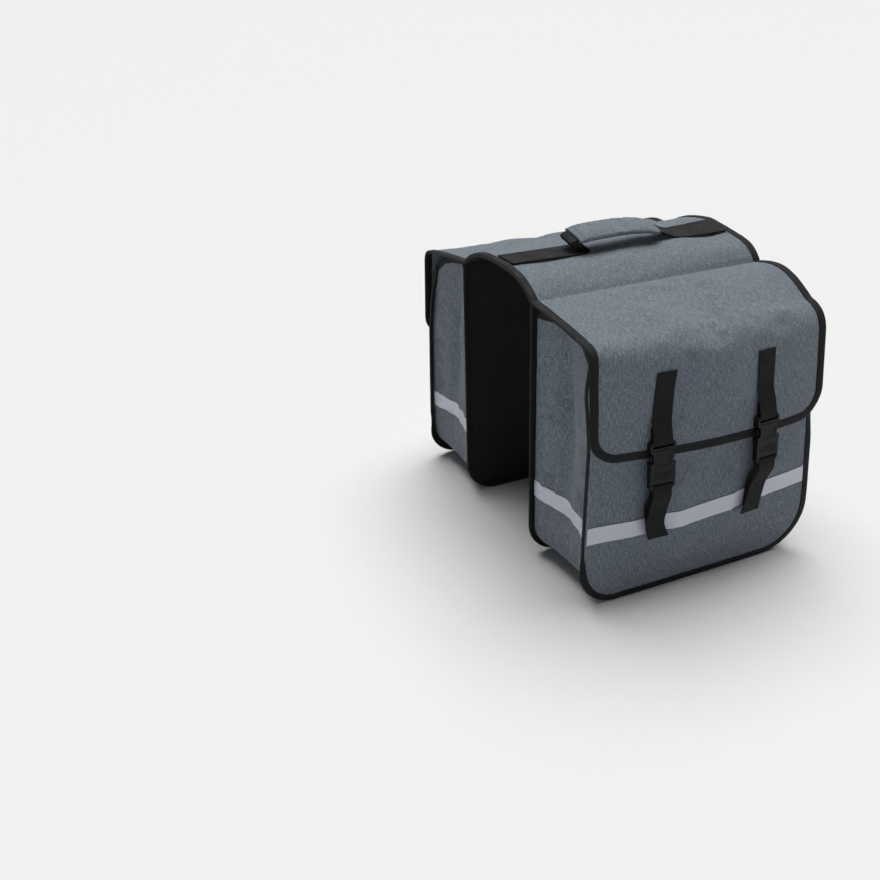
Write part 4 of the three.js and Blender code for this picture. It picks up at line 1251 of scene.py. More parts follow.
def even_rows(grid, places, columns, rise):
    """Rows of the gusset moved to an even spacing between the band's two edges."""
    heights = grid[:, 0, 2]
    wanted = np.linspace(BAND_HIGH, BAND_LOW, 13) + rise
    order = np.argsort(heights)

    def at_wanted(values):
        rows = [
            [np.interp(wanted, heights[order], column) for column in values[order, c].T]
            for c in range(columns - 1)
        ]
        return np.array(rows).transpose(2, 0, 1)

    return at_wanted(grid), at_wanted(places)


def hem_level(x, level):
    """Levels of the flap with its hem drawn up toward the front."""
    return level + HEM_RISE * smooth((0.03 - x) / 0.19) * np.clip(1 - level / 0.16, 0, 1)


def flap_surface():
    """The flap: a patch inside its tape and the strip that the tape covers."""
    levels = np.linspace(FLAP_LENGTH, max(FLAP_RADII) + CORNER_GAP, 58)
    inner = u_stations(HALF_LENGTH, FLAP_RADII, levels, TAPE_OVER + FLAP_TAPE)
    outer = u_stations(HALF_LENGTH, FLAP_RADII, levels, TAPE_OVER)
    x, level, rim = u_grid(inner)
    level = hem_level(x, level)
    outer[1] = hem_level(outer[0], outer[1])
    quads = grid_quads(*x.shape)
    points = flap_point(x, level).reshape(-1, 3)
    points = points + point_normals(points, quads) * flap_waves(x, level).ravel()[:, None]
    loose = np.clip(fullness(x), 0, 1) * smooth((level - 0.01) / 0.04) * smooth((FLAP_LENGTH - level) / 0.02)
    held = np.clip(1.1 - 1.15 * loose * calm_below(x, level), 0, 1).ravel()
    points = settle_cloth(points, quads, held, *cloth_settling(1.0))
    edge = flap_point(outer[0], outer[1])
    places = np.vstack([np.column_stack([x.ravel(), level.ravel()]), np.column_stack(outer[:2])])
    return *edged(points, quads, rim, edge), places, edge, points[rim]


def make_flaps():
    """The flaps with their tapes. Gives the places of the stitches."""
    points, quads, places, edge, reach = flap_surface()
    shape = thick_sheet(points, quads, places, CLOTH)
    tape, rows = folded_tape(edge, reach, CLOTH / 2, seed=71)
    for side in SIDES:
        flap = place_side(side, "flap_cloth", shape, "heather_fabric", "flap")
        place_side(side, "flap_tape", tape, "binding_tape", "flap_binding")
    return rows


def make_backs():
    """The back boards with their tapes. Gives the places of the stitches."""
    edge = back_plane(board_stations(TAPE_OVER))
    reach = back_plane(board_stations(SEAM_INSET))
    tape, rows = folded_tape(edge, reach, BOARD / 2, seed=81)
    board = board_shape()
    for side in SIDES:
        place_side(side, "board", board, "black_board", "back_panel")
        place_side(side, "back_tape", tape, "binding_tape", "back_binding")
    return rows


def outline_plate(half_outline, thickness):
    """A plate of a half outline of x and z mirrored about x = 0."""
    return extruded(half_outline + [(-x, z) for x, z in reversed(half_outline)], thickness)


def extruded(outline, thickness):
    """A plate of an outline of x and z."""
    count = len(outline)
    points = [(x, y, z) for y in (-thickness / 2, thickness / 2) for x, z in outline]
    sides = [(i, (i + 1) % count, (i + 1) % count + count, i + count) for i in range(count)]
    faces = [tuple(range(count))[::-1], tuple(range(count, 2 * count)), *sides]
    mesh = bpy.data.meshes.new("blank")
    mesh.from_pydata(points, [], faces)
    return mesh


def block(low, high):
    """A block between two corners."""
    mesh = bpy.data.meshes.new("block")
    points = [(x, y, z) for x in (low[0], high[0]) for y in (low[1], high[1]) for z in (low[2], high[2])]
    faces = [(0, 1, 3, 2), (4, 6, 7, 5), (0, 4, 5, 1), (2, 3, 7, 6), (0, 2, 6, 4), (1, 5, 7, 3)]
    mesh.from_pydata(points, [], faces)
    return mesh


def outward(mesh):
    """Turn the faces of a closed mesh so that they look out."""
    work = bmesh.new()
    work.from_mesh(mesh)
    bmesh.ops.recalc_face_normals(work, faces=work.faces)
    work.to_mesh(mesh)
    work.free()
    return mesh


def carved(base, cuts, additions, edge):
    """A moulded part: a blank with pieces cut away and added, and its edges rounded."""
    part = bpy.data.objects.new("moulding", outward(base))
    bpy.context.scene.collection.objects.link(part)
    helpers = []
    for mesh, operation in [(m, "UNION") for m in additions] + [(m, "DIFFERENCE") for m in cuts]:
        helper = bpy.data.objects.new("tool", outward(mesh))
        bpy.context.scene.collection.objects.link(helper)
        modifier = part.modifiers.new("Cut", "BOOLEAN")
        modifier.operation = operation
        modifier.solver = "EXACT"
        modifier.object = helper
        helpers.append(helper)
    bevel = part.modifiers.new("Rounded edges", "BEVEL")
    bevel.width = edge
    bevel.segments = 3
    bevel.limit_method = "ANGLE"
    bevel.angle_limit = math.radians(35)
    bevel.harden_normals = True
    bpy.context.view_layer.update()
    evaluated = part.evaluated_get(bpy.context.evaluated_depsgraph_get())
    result = bpy.data.meshes.new_from_object(evaluated)
    for item in [part, *helpers]:
        bpy.data.objects.remove(item)
    if len(result.polygons) < 20:
        raise RuntimeError("a buckle part came out empty")
    return result


def slot_cuts(end, thickness):
    low, high = sorted((end * (BAR_INNER - SLOT_HEIGHT), end * BAR_INNER))
    bar_low, bar_high = sorted((end * (BAR_INNER - SLOT_HEIGHT), end * (BUCKLE_REACH + BAR_HEIGHT)))
    return [
        block((-SLOT_HALF, -thickness, low), (SLOT_HALF, thickness, high)),
        block((-SLOT_HALF, -thickness, bar_low), (SLOT_HALF, -BAR_THICKNESS / 2, bar_high)),
        block((-SLOT_HALF, BAR_THICKNESS / 2, bar_low), (SLOT_HALF, thickness, bar_high)),
    ]


def socket_mesh():
    waist = BUCKLE_HALF - WINDOW_DEPTH
    slope = 0.002
    shell = outline_plate(
        [
            (BUCKLE_HALF - 0.0008, BUCKLE_MOUTH),
            (BUCKLE_HALF, BUCKLE_MOUTH + 0.002),
            (BUCKLE_HALF, WINDOW_LOW - slope),
            (waist, WINDOW_LOW),
            (waist, WINDOW_HIGH),
            (BUCKLE_HALF, WINDOW_HIGH + slope),
            (BUCKLE_HALF, BUCKLE_REACH - BUCKLE_CORNER),
            (BUCKLE_HALF - BUCKLE_CORNER, BUCKLE_REACH),
        ],
        BUCKLE_THICKNESS,
    )
    room_x, room_y = BUCKLE_HALF - SOCKET_WALL, BUCKLE_THICKNESS / 2 - SOCKET_WALL
    face = BUCKLE_THICKNESS / 2
    room = block((-room_x, -room_y, BUCKLE_MOUTH - 0.002), (room_x, room_y, SOCKET_END))
    recess = block((-0.0095, -face - 0.001, 0.0005), (0.0095, -face + 0.0006, 0.0135))
    step = block((-0.02, -face - 0.001, SOCKET_END + 0.0012), (0.02, -face + 0.0007, 0.04))
    return carved(shell, [room, *slot_cuts(1, BUCKLE_THICKNESS), recess, step], [], 0.0005)


def plug_mesh():
    shoulder = BUCKLE_MOUTH - GAP
    root = shoulder - 0.001
    base = outline_plate(
        [
            (BUCKLE_HALF - BUCKLE_CORNER, -BUCKLE_REACH),
            (BUCKLE_HALF, -BUCKLE_REACH + BUCKLE_CORNER),
            (BUCKLE_HALF, shoulder),
        ],
        PLUG_THICKNESS,
    )
    thickness = BUCKLE_THICKNESS - 2 * SOCKET_WALL - 0.0008
    outer = BUCKLE_HALF - SOCKET_WALL - 0.0004
    button = BUCKLE_HALF - 0.0006
    tip = WINDOW_HIGH - 0.001
    prong = [
        (outer - 0.0034, root),
        (outer, root),
        (outer, WINDOW_LOW - 0.0004),
        (button, WINDOW_LOW + 0.002),
        (button, WINDOW_HIGH - 0.002),
        (outer - 0.0008, tip),
        (outer - 0.0034, tip),
    ]
    mirrored = [(-x, z) for x, z in reversed(prong)]
    tongue = block((-0.003, -thickness / 2, root), (0.003, thickness / 2, tip))
    additions = [extruded(prong, thickness), extruded(mirrored, thickness), tongue]
    face = PLUG_THICKNESS / 2
    grooves = [
        block((-0.0115, -face - 0.001, z), (0.0115, -face + 0.0006, z + 0.0012))
        for z in (-0.0095, -0.0125, -0.0155)
    ]
    return carved(base, [*slot_cuts(-1, PLUG_THICKNESS), *grooves], additions, 0.0004)


def buckle_frame(x):
    """The buckle's place on the flap, and its lift from the flap's middle."""
    depth = flap_face(x, BUCKLE_HEIGHT)
    along_x = (flap_face(x + 0.001, BUCKLE_HEIGHT) - depth) / 0.001
    up_z = (flap_face(x, BUCKLE_HEIGHT + 0.001) - depth) / 0.001
    x_axis = Vector((1, -along_x, 0)).normalized()
    y_axis = Vector((0, -up_z, 1)).cross(x_axis).normalized()
    z_axis = x_axis.cross(y_axis)
    lift = CLOTH_TAPE_HALF + BUCKLE_GAP + BUCKLE_THICKNESS / 2
    place = Vector((x, -HALF_GAP - depth, BUCKLE_HEIGHT)) - y_axis * lift
    matrix = Matrix((x_axis, y_axis, z_axis)).transposed().to_4x4()
    matrix.translation = place
    return matrix, lift


def bar_turn(end, from_face):
    lift = BAR_THICKNESS / 2 + WEBBING
    middle = BAR_INNER - SLOT_HEIGHT / 2
    turn = [(out * lift, end * (middle + up * BAR_HEIGHT)) for out, up in BAR_TURN]
    return turn if from_face else turn[::-1]


def strap_x(closure, z):
    """The middle of a closure's upper webbing at a height: straight in its buckle, slanted above."""
    start = BUCKLE_HEIGHT + SLANT_START
    return closure["x"] + closure["slant"] * min(1, max(0, (z - start) / (CLOSURE_TOP - start)))


def closure_paths(closure):
    """The two webbing paths of a closure: point, and width as a share."""
    x = closure["x"]
    matrix, lift = buckle_frame(x)
    y_axis = matrix.to_3x3() @ Vector((0, 1, 0))

    def in_buckle(place, shift=0):
        out, height = place
        return (*(matrix @ Vector((shift, -out, height))), 1)

    def on_flap(z):
        at = strap_x(closure, z)
        return (*(Vector((at, -HALF_GAP - flap_face(at, z), z)) - y_axis * WEBBING_LIFT), 1)

    def on_panel(row, shift, base):
        up, off, flare = row
        point = panel_point(np.array(x), np.array(SEAM_END + up))
        return (point[0] + shift, point[1] - base - off, point[2], flare)

    upper = [on_flap(CLOSURE_TOP), on_flap(lerp(CLOSURE_TOP, BUCKLE_HEIGHT, 0.3))]
    drift = strap_x(closure, BUCKLE_HEIGHT + WEBBING_LEAVES) - x
    upper.append(in_buckle((WEBBING_LIFT - lift, WEBBING_LEAVES), drift))
    upper += [in_buckle(p) for p in (*SOCKET_LEAD, *bar_turn(1, True), *SOCKET_RETURN)]
    anchor = BAND_LIFT + (BAND + WEBBING) / 2 + WEBBING_GAP
    tail = anchor + WEBBING + WEBBING_GAP
    lower = [on_panel(row, shift, anchor) for row, shift in zip(ANCHOR_WEBBING, closure["anchor"])]
    lower += [in_buckle(p) for p in (PLUG_LEAD, *bar_turn(-1, False), PLUG_RETURN)]
    lower += [on_panel(row, shift, tail) for row, shift in zip(TAIL_WEBBING, closure["tail"])]
    return np.array(upper), np.array(lower), matrix


def box_stitch(low_z, high_z, half, surface, out):
    """A sewn box with a cross, on a surface given by its points across and along the strap."""
    corners = [(-half, low_z), (half, low_z), (half, high_z), (-half, high_z)]
    runs = ((0, 1), (1, 2), (2, 3), (3, 0), (0, 2), (1, 3))
    rows = []
    for first, last in runs:
        start, end = corners[first], corners[last]
        places = [(lerp(start[0], end[0], s), lerp(start[1], end[1], s)) for s in np.linspace(0, 1, 12)]
        line = np.array([surface(*place) for place in places])
        rows.append((line, np.broadcast_to(np.asarray(out, float), line.shape)))
    return rows


def make_webbing():
    """The webbing of the closures. Gives the places of the stitches."""
    shapes = {}
    stitches = []
    lift = WEBBING_LIFT + WEBBING / 2
    for closure in CLOSURES:
        upper, lower, matrix = closure_paths(closure)
        axes = np.array(matrix.to_3x3())
        across, out = axes[:, 0], -axes[:, 1]
        for kind, path in (("flap", upper), ("bag", lower)):
            line, share = curve_through(path[:, :3], 0.0018, path[:, 3])
            shapes[kind, closure["number"]] = woven_strap(line, across, WEBBING_WIDTH * share, WEBBING)

        def on_webbing(off_x, at_z):
            x = strap_x(closure, at_z)
            return np.array((x, -HALF_GAP - flap_face(x, at_z), at_z)) + across * off_x + out * lift

        stitches += box_stitch(CLOSURE_TOP - 0.022, CLOSURE_TOP - 0.003, BOX_HALF, on_webbing, out)
    for side in SIDES:
        for (kind, number), shape in shapes.items():
            place_side(side, f"{kind}_strap_{number}", shape, "webbing", f"{kind}_webbing_{number}")
    return stitches


def make_buckles():
    """The sockets and plugs, each a copy of one moulding turned to its closure."""
    meshes = {"socket": socket_mesh(), "plug": plug_mesh()}
    mirror = Matrix.Scale(-1, 4, (0, 1, 0))
    for closure in CLOSURES:
        number = closure["number"]
        matrix = buckle_frame(closure["x"])[0]
        for side in SIDES:
            for kind, mesh in meshes.items():
                name = f"{side}_{kind}_{number}"
                copy = mesh.copy()
                copy.name = name
                copy.transform(matrix if side == "left" else mirror @ matrix)
                if side == "right":
                    copy.flip_normals()
                place_piece(name, copy, "buckle_plastic", [f"{side}_buckle_{kind}_{number}"])


def make_bridge():
    """The bridge with its lining and tapes. Gives the places of the stitches."""
    x = np.linspace(-BRIDGE_HALF, BRIDGE_HALF, 74)[:, None]
    share = np.linspace(-1, 1, 61)
    across = (np.sign(share) * (1 - (1 - np.abs(share)) ** 1.35))[None]
    grid = bridge_point(x, across)
    depth = bpy.context.scene.pannier_cloth.wave_depth
    loose = smooth((1 - np.abs(across)) / 0.25) * smooth((BRIDGE_HALF - np.abs(x)) / 0.03)
    calm = smooth((np.abs(across) - 0.2) / 0.15)
    grid[..., 2] += loose * calm * depth * (0.8 * ripple(x, across * HALF_GAP, 91, 0.09, 0.7) - 0.5)
    rows, columns = grid.shape[:2]
    arc = lengths_along(bridge_point(np.zeros(columns), across[0]))
    places = np.stack(np.broadcast_arrays(x, (arc - arc[-1] / 2)[None]), axis=-1)
    cloth = place_shape("bridge_cloth", grid_sheet(grid, places, CLOTH), "heather_fabric", "bridge")
    lining = grid_sheet(grid, places, LINING, -(CLOTH + LINING) / 2 - GAP)
    place_shape("lining", lining, "black_board", "bridge_lining")
    stack = (CLOTH + GAP + LINING) / 2
    rows_of_stitches = []
    for end, direction in (("front", -1), ("rear", 1)):
        edge, inner = (
            bridge_point(np.full(columns, direction * half), across[0])[::direction]
            for half in (BRIDGE_HALF, BRIDGE_HALF - BRIDGE_TAPE)
        )
        tape, seams = folded_tape(edge, inner, stack, -(GAP + LINING) / 2, seed=93)
        place_shape(f"bridge_tape_{end}", tape, "binding_tape", f"bridge_binding_{end}")
        rows_of_stitches += seams
    return rows_of_stitches


def hinge_rows():
    """Top stitching on the bridge beside each flap, in grey thread."""
    x = np.linspace(-BRIDGE_HALF + BRIDGE_TAPE, BRIDGE_HALF - BRIDGE_TAPE, 90)
    rows = []
    for sign in (-1, 1):
        line = bridge_point(x, np.full_like(x, 0.955 * sign))
        inner = bridge_point(x, np.full_like(x, 0.9 * sign))
        normal = unit(np.cross(np.gradient(line, axis=0), (inner - line) * -sign))
        normal = normal * np.sign(normal[:, 2:3])
        rows.append((line + normal * CLOTH / 2, normal))
    return rows


def strap_drift(along):
    """How far the carry strap lies off the bridge's middle, at a share of its half length."""
    return lerp(STRAP_DRIFT["front"], STRAP_DRIFT["rear"], (along + 1) / 2)


def strap_line():
    """The carry strap's middle line and its width, from one bridge tape to the other."""
    end = (BRIDGE_HALF - BRIDGE_TAPE) / HALF_LENGTH
    along = np.array([-end, *STRAP_PATH["along"], end])
    rise = np.array([0, *STRAP_PATH["rise"], 0])
    fold = np.array([0, *STRAP_PATH["fold"], 0])
    points = bridge_point(along * HALF_LENGTH, strap_drift(along) / HALF_GAP)
    points[:, 2] += (CLOTH + STRAP) / 2 + WEBBING_GAP + rise * HANDLE_RISE
    return points, fold


def tilted(x, fold):
    """The direction across the strap: as the bridge lies, and turned down where the strap is folded."""
    tilt = lerp(REAR_TILT * smooth(x / HALF_LENGTH), HANDLE_TILT, fold)
    return np.column_stack([0 * tilt, np.cos(tilt), np.sin(tilt)])


def make_carry_strap():
    """The carry strap. Gives the places of its stitches."""
    points, folds = strap_line()
    line, fold = curve_through(points, 0.0022, folds)
    widths = lerp(CARRY_WIDTH, HANDLE_WIDTH, fold)
    shape = woven_strap(line, tilted(line[:, 0], fold), widths, STRAP)
    place_shape("carry_webbing", shape, "webbing", "carry_strap")

    def on_strap(at_y, at_x):
        drift = strap_drift(at_x / HALF_LENGTH)
        base = bridge_point(np.array(at_x), np.array(drift / HALF_GAP))
        tilt = REAR_TILT * smooth(at_x / HALF_LENGTH) * at_y
        return np.array((at_x, at_y + drift, base[2] + CLOTH / 2 + WEBBING_GAP + STRAP + tilt))

    rows = []
    for low, high in STRAP_BOXES:
        rows += box_stitch(low, high, CARRY_WIDTH / 2 - 0.004, on_strap, (0, 0, 1))
    return rows


def make_sleeve():
    """The padded sleeve: a flat stuffed tube with a seam below and a hem at each end."""
    points, _ = strap_line()
    first, last = SLEEVE_ROWS[0] + 1, SLEEVE_ROWS[1] + 1
    line = curve_through(points[first : last + 1], 0.0024)[0][1:]
    tangent = directions_along(line)
    across = tilted(line[:, 0], 1)
    up = unit(np.cross(tangent, across))
    up = up * np.sign(up[:, 2:3])
    turns = np.linspace(-math.pi / 2, 1.5 * math.pi, 40, endpoint=False)
    cos, sin = np.cos(turns), np.sin(turns)
    flat_x = np.sign(cos) * np.abs(cos) ** 0.62
    flat_y = np.sign(sin) * np.abs(sin) ** 0.8
    along = lengths_along(line)
    ends = np.minimum(along, along[-1] - along)
    inside = smooth(ends / SLEEVE_HEM)
    thin = lerp(0.78, 1, inside)
    puff = 1 + 0.03 * ripple(along, along * 0, 7, 0.03) * inside
    profile = np.stack(
        [
            flat_x[None] * SLEEVE_WIDTH / 2 * lerp(0.96, 1, inside)[:, None],
            flat_y[None] * SLEEVE_THICKNESS / 2 * (thin * puff)[:, None],
        ],
        axis=-1,
    )
    shape = sweep(line, across, up, profile)
    body = shape.points
    held = np.clip(1 - ends / 0.008, 0, 1)
    held = np.concatenate([np.repeat(held, len(turns)), [1, 1]])
    side_rows = np.concatenate([np.tile(np.where(np.abs(cos) > 0.97, 0.6, 0.0), len(line)), [0, 0]])
    loose = np.maximum(held, side_rows)
    middle = len(body) - 2
    settled = settle_cloth(body, shape.quads, loose, 1.2, 0.006, 0.0012)
    shape.points[:middle] = settled[:middle]
    sleeve = place_shape("handle_pad", shape, "heather_fabric", "handle_sleeve")
    rows = []
    for sign in (-1, 1):
        at = int(np.argmin(np.abs(turns - (math.pi / 2 - sign * 1.12))))
        ring = shape.points[at : middle : len(turns)]
        rows.append((ring[3:-3], up[3:-3]))
    for index in (3, len(line) - 4):
        chosen = [i for i in range(len(turns)) if sin[i] > 0.25]
        ring = shape.points[index * len(turns) + np.array(chosen)]
        rows.append((ring, np.repeat(up[index : index + 1], len(ring), axis=0)))
    return rows


def look_at_pannier():
    """The camera, at the photograph's place and angle."""
    stage = bpy.context.scene.pannier_stage
    azimuth, elevation, roll = stage.azimuth, stage.elevation, stage.roll
    back = Vector((
        math.sin(azimuth) * math.cos(elevation),
        -math.cos(azimuth) * math.cos(elevation),
        math.sin(elevation),
    ))
    right = (-back).cross(Vector((0, 0, 1))).normalized()
    up = right.cross(-back)
    side = right * math.cos(roll) + up * math.sin(roll)
    top = up * math.cos(roll) - right * math.sin(roll)
    data = bpy.data.cameras.new("camera")
    data.sensor_width = 36
    data.lens = stage.lens
    camera = bpy.data.objects.new("camera", data)
    matrix = Matrix((side, top, back)).transposed().to_4x4()
    matrix.translation = Vector(stage.camera_place)
    camera.matrix_world = matrix
    bpy.context.scene.collection.objects.link(camera)
    bpy.context.scene.camera = camera


def add_light(name, data, place, power, colour):
    data.energy = power
    data.color = colour
    light = bpy.data.objects.new(name, data)
    light.location = place
    light.rotation_euler = (Vector((0, 0, 0.2)) - Vector(place)).to_track_quat("-Z", "Y").to_euler()
    bpy.context.scene.collection.objects.link(light)


def make_floor():
    """A wide pale floor."""
    stage = bpy.context.scene.pannier_stage
    half = stage.floor_size / 2
    mesh = bpy.data.meshes.new("floor")
    corners = [(-half, -half, 0), (half, -half, 0), (half, half, 0), (-half, half, 0)]
    mesh.from_pydata(corners, [], [(0, 1, 2, 3)])
    floor = bpy.data.objects.new("floor", mesh)
    bpy.context.scene.collection.objects.link(floor)
    material = grained("Pale floor", stage.floor, 0.985, 60.0, 0.85, depth=0.00001, dust=0.0, shine=0.2)
    floor.data.materials.append(material)


def make_stage():
    stage = bpy.context.scene.pannier_stage
    make_floor()
    look_at_pannier()
    world = bpy.data.worlds.new("studio")
    world.use_nodes = True
    background = world.node_tree.nodes["Background"]
    background.inputs["Color"].default_value = (0.95, 0.97, 1, 1)
    maker = NodeMaker(world.node_tree)
    toward = maker.split(maker.add("ShaderNodeTexCoord").outputs["Generated"])
    height = maker.range(toward[2], 0.2, 0.5, stage.sky, 0.03)
    light = maker.math("MULTIPLY", height, maker.range(toward[0], -1, 1, 0.6, 1.1))
    seen = maker.add("ShaderNodeLightPath").outputs["Is Camera Ray"]
    strength = maker.add("ShaderNodeMix", {0: seen, 2: light, 3: stage.backdrop}).outputs[0]
    maker.feed(background.inputs["Strength"], strength)
    scene = bpy.context.scene
    scene.world = world
    scene.view_settings.view_transform = "Standard"
    scene.view_settings.look = "None"
    above = bpy.data.lights.new("overhead", "SUN")
    above.angle = stage.softness
    add_light("overhead", above, (0.35, 0.7, 3.0), stage.overhead, (1, 0.995, 0.98))
    fill = bpy.data.lights.new("fill", "AREA")
    fill.shape = "DISK"
    fill.size = 0.9
    add_light("fill", fill, (-2.2, 0.5, 1.1), stage.fill, (0.95, 0.98, 1))


class PannierCloth(bpy.types.PropertyGroup):
    """Heather cloth of the bags, the bridge and the handle."""

    thread: bpy.props.FloatVectorProperty(
        name="Thread", description="Main colour of the cloth",
        subtype="COLOR", min=0, max=1, default=(0.135, 0.163, 0.195),
    )
    light_fleck: bpy.props.FloatVectorProperty(
        name="Light fleck", description="Colour of the pale threads",
        subtype="COLOR", min=0, max=1, default=(0.34, 0.37, 0.4),
    )
    dark_fleck: bpy.props.FloatVectorProperty(
        name="Dark fleck", description="Colour of the dark threads",
        subtype="COLOR", min=0, max=1, default=(0.045, 0.056, 0.075),
    )
    fleck: bpy.props.FloatProperty(
        name="Fleck", description="How strongly the flecks show",
        subtype="FACTOR", min=0, max=1, default=0.62,
    )
    wave_depth: bpy.props.FloatProperty(
        name="Wave depth", description="Height of the soft waves in the cloth",
        unit="LENGTH", min=0, max=0.004, default=0.0011,
    )
    slack: bpy.props.FloatProperty(
        name="Slack", description="Spare cloth that lets it settle into folds",
        subtype="FACTOR", min=0, max=0.05, default=0.012,
    )
    settle_cap: bpy.props.FloatProperty(
        name="Settling", description="The most that cloth may move as it settles",
        unit="LENGTH", min=0, max=0.01, default=0.003,
    )


class PannierTrim(bpy.types.PropertyGroup):
    """Tape, webbing, board, reflective band and thread."""

    tape: bpy.props.FloatVectorProperty(
        name="Tape", description="Colour of the binding tape",
        subtype="COLOR", min=0, max=1, default=(0.0075, 0.008, 0.0095),
    )
    webbing: bpy.props.FloatVectorProperty(
        name="Webbing", description="Colour of the straps",
        subtype="COLOR", min=0, max=1, default=(0.0062, 0.0066, 0.0066),
    )
    board: bpy.props.FloatVectorProperty(
        name="Board", description="Colour of the back panels and lining", subtype="COLOR", min=0, max=1,
        default=(0.0035, 0.0037, 0.004),
    )
    band: bpy.props.FloatVectorProperty(
        name="Band", description="Colour of the reflective band",
        subtype="COLOR", min=0, max=1, default=(0.6, 0.625, 0.71),
    )
    stitch_length: bpy.props.FloatProperty(
        name="Stitch length", description="Length of one visible stitch",
        unit="LENGTH", min=0.001, max=0.006, default=0.0028,
    )
    stitch_pitch: bpy.props.FloatProperty(
        name="Stitch pitch", description="Distance from one stitch to the next",
        unit="LENGTH", min=0.002, max=0.01, default=0.0038,
    )
    stitch_radius: bpy.props.FloatProperty(
        name="Thread radius", description="Radius of the sewing thread",
        unit="LENGTH", min=0.0001, max=0.0006, default=0.00028,
    )


class PannierBuckle(bpy.types.PropertyGroup):
    """Side-release buckles."""

    plastic: bpy.props.FloatVectorProperty(
        name="Plastic", description="Colour of the buckles",
        subtype="COLOR", min=0, max=1, default=(0.0035, 0.0035, 0.0036),
    )


class PannierStage(bpy.types.PropertyGroup):
    """Camera, lights and floor."""

    camera_place: bpy.props.FloatVectorProperty(
        name="Camera place", description="Where the camera stands",
        subtype="TRANSLATION", unit="LENGTH",
        default=(-0.69197, -1.04642, 0.71985),
    )
    azimuth: bpy.props.FloatProperty(
        name="Azimuth", description="Turn of the camera round the pannier",
        subtype="ANGLE", default=math.radians(-23.2),
    )
    elevation: bpy.props.FloatProperty(
        name="Elevation", description="Angle of the camera above the floor",
        subtype="ANGLE", default=math.radians(26.8),
    )
    roll: bpy.props.FloatProperty(
        name="Roll", description="Tilt of the camera", subtype="ANGLE", default=math.radians(-2.0)
    )
    lens: bpy.props.FloatProperty(
        name="Lens", description="Focal length in millimetres",
        min=10, max=200, default=40.83,
    )
    floor: bpy.props.FloatVectorProperty(
        name="Floor", description="Colour of the floor",
        subtype="COLOR", min=0, max=1, default=(0.68, 0.685, 0.69),
    )
    floor_size: bpy.props.FloatProperty(
        name="Floor size", description="Width of the floor", unit="LENGTH", min=2, max=200, default=80
    )
    sky: bpy.props.FloatProperty(
        name="Sky", description="Strength of the pale light round the horizon",
        min=0, max=3, default=0.64,
    )
    backdrop: bpy.props.FloatProperty(
        name="Backdrop", description="Brightness of the background behind the floor",
        min=0, max=2, default=0.88,
    )
    overhead: bpy.props.FloatProperty(
        name="Overhead", description="Strength of the light above", min=0, max=20, default=3.95
    )
    softness: bpy.props.FloatProperty(
        name="Softness", description="Width of the light above as an angle",
        subtype="ANGLE", min=0, max=math.pi,
        default=math.radians(55),
    )
    fill: bpy.props.FloatProperty(
        name="Fill", description="Power of the light in front", unit="POWER", min=0, max=2000, default=1
    )


class PANNIER_OT_stage(bpy.types.Operator):
    """Set up the camera, the lights and the pale floor"""

    bl_idname = "pannier.stage"
    bl_label = "Stage"

    def execute(self, context):
        make_stage()
        return {"FINISHED"}


class PANNIER_OT_backs(bpy.types.Operator):
    """Make the two back boards with their bound edges"""

    bl_idname = "pannier.backs"
    bl_label = "Back boards"

    def execute(self, context):
        sew("back", make_backs())
        return {"FINISHED"}


class PANNIER_OT_gussets(bpy.types.Operator):
    """Make the two side gussets with their bands and mouth tapes"""

    bl_idname = "pannier.gussets"
    bl_label = "Gussets"

    def execute(self, context):
        sew("mouth", make_gussets())
        return {"FINISHED"}


class PANNIER_OT_fronts(bpy.types.Operator):
    """Make the two front panels with their bound seams and bands"""

    bl_idname = "pannier.fronts"
    bl_label = "Front panels"

    def execute(self, context):
        sew("front", make_front_panels())
        return {"FINISHED"}


class PANNIER_OT_flaps(bpy.types.Operator):
    """Make the two flaps with their tapes"""

    bl_idname = "pannier.flaps"
    bl_label = "Flaps"

    def execute(self, context):
        sew("flap", make_flaps())
        return {"FINISHED"}


class PANNIER_OT_webbing(bpy.types.Operator):
    """Make the webbing of the four closures"""

    bl_idname = "pannier.webbing"
    bl_label = "Closure webbing"

    def execute(self, context):
        sew("closure", make_webbing(), "webbing")
        return {"FINISHED"}


class PANNIER_OT_buckles(bpy.types.Operator):
    """Make the four side-release buckles"""

    bl_idname = "pannier.buckles"
    bl_label = "Buckles"

    def execute(self, context):
        make_buckles()
        return {"FINISHED"}


class PANNIER_OT_bridge(bpy.types.Operator):
    """Make the bridge, its lining, its tapes and the stitching beside the flaps"""

    bl_idname = "pannier.bridge"
    bl_label = "Bridge"

    def execute(self, context):
        place_stitches("bridge_tape_stitches", make_bridge(), black_thread(), "binding_tape")
        grey = thread_material("Grey thread", GREY_THREAD)
        place_stitches("hinge_stitches", hinge_rows(), grey, "heather_fabric")
        return {"FINISHED"}


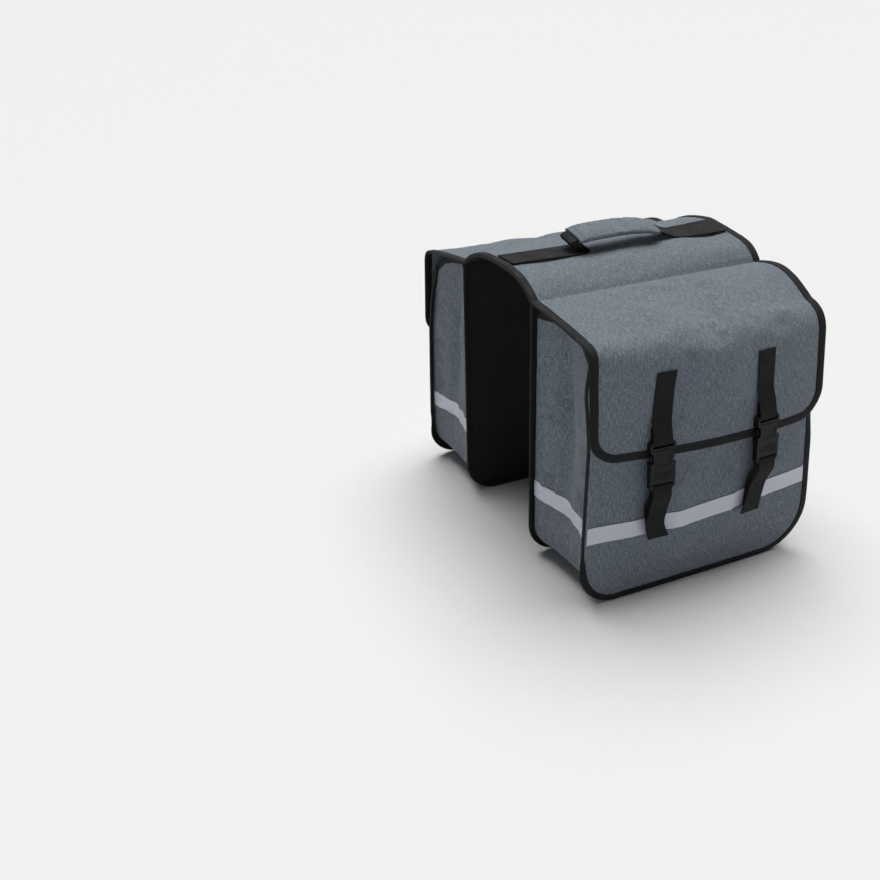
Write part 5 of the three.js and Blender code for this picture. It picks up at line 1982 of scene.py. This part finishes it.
class PANNIER_OT_handle(bpy.types.Operator):
    """Make the carry strap and its padded sleeve"""

    bl_idname = "pannier.handle"
    bl_label = "Carry handle"

    def execute(self, context):
        place_stitches("carry_stitches", make_carry_strap(), black_thread(), "webbing")
        place_stitches("handle_stitches", make_sleeve(), black_thread(), "heather_fabric")
        return {"FINISHED"}


def sew(name, rows, slot="binding_tape"):
    """Stitch rows of one bag, and their mirror images on the other."""
    for side in SIDES:
        flip = np.array((1, 1 if side == "left" else -1, 1))
        turned = [(line * flip, normals * flip) for line, normals in rows]
        place_stitches(f"{side}_{name}_stitches", turned, black_thread(), slot)


class PANNIER_PT_pieces(bpy.types.Panel):
    """The pieces of the pannier"""

    bl_idname = "PANNIER_PT_pieces"
    bl_label = "Pannier"
    bl_space_type = "VIEW_3D"
    bl_region_type = "UI"
    bl_category = "Pannier"

    def draw(self, context):
        layout = self.layout
        for operator in OPERATORS:
            layout.operator(operator.bl_idname)
        for settings in (getattr(context.scene, name) for name in SETTINGS):
            column = layout.column()
            for label in settings.bl_rna.properties.keys():
                if label not in {"rna_type", "name"}:
                    column.prop(settings, label)


SETTINGS = {
    "pannier_cloth": PannierCloth,
    "pannier_trim": PannierTrim,
    "pannier_buckle": PannierBuckle,
    "pannier_stage": PannierStage,
}
OPERATORS = (
    PANNIER_OT_stage,
    PANNIER_OT_backs,
    PANNIER_OT_gussets,
    PANNIER_OT_fronts,
    PANNIER_OT_bridge,
    PANNIER_OT_flaps,
    PANNIER_OT_webbing,
    PANNIER_OT_buckles,
    PANNIER_OT_handle,
)


def register():
    for cls in (*SETTINGS.values(), *OPERATORS, PANNIER_PT_pieces):
        bpy.utils.register_class(cls)
    for name, settings in SETTINGS.items():
        setattr(bpy.types.Scene, name, bpy.props.PointerProperty(type=settings))


def unregister():
    for name in SETTINGS:
        delattr(bpy.types.Scene, name)
    for cls in reversed((*SETTINGS.values(), *OPERATORS, PANNIER_PT_pieces)):
        bpy.utils.unregister_class(cls)


def main():
    register()
    for operator in OPERATORS:
        group, name = operator.bl_idname.split(".")
        getattr(getattr(bpy.ops, group), name)()


if __name__ == "__main__":
    main()
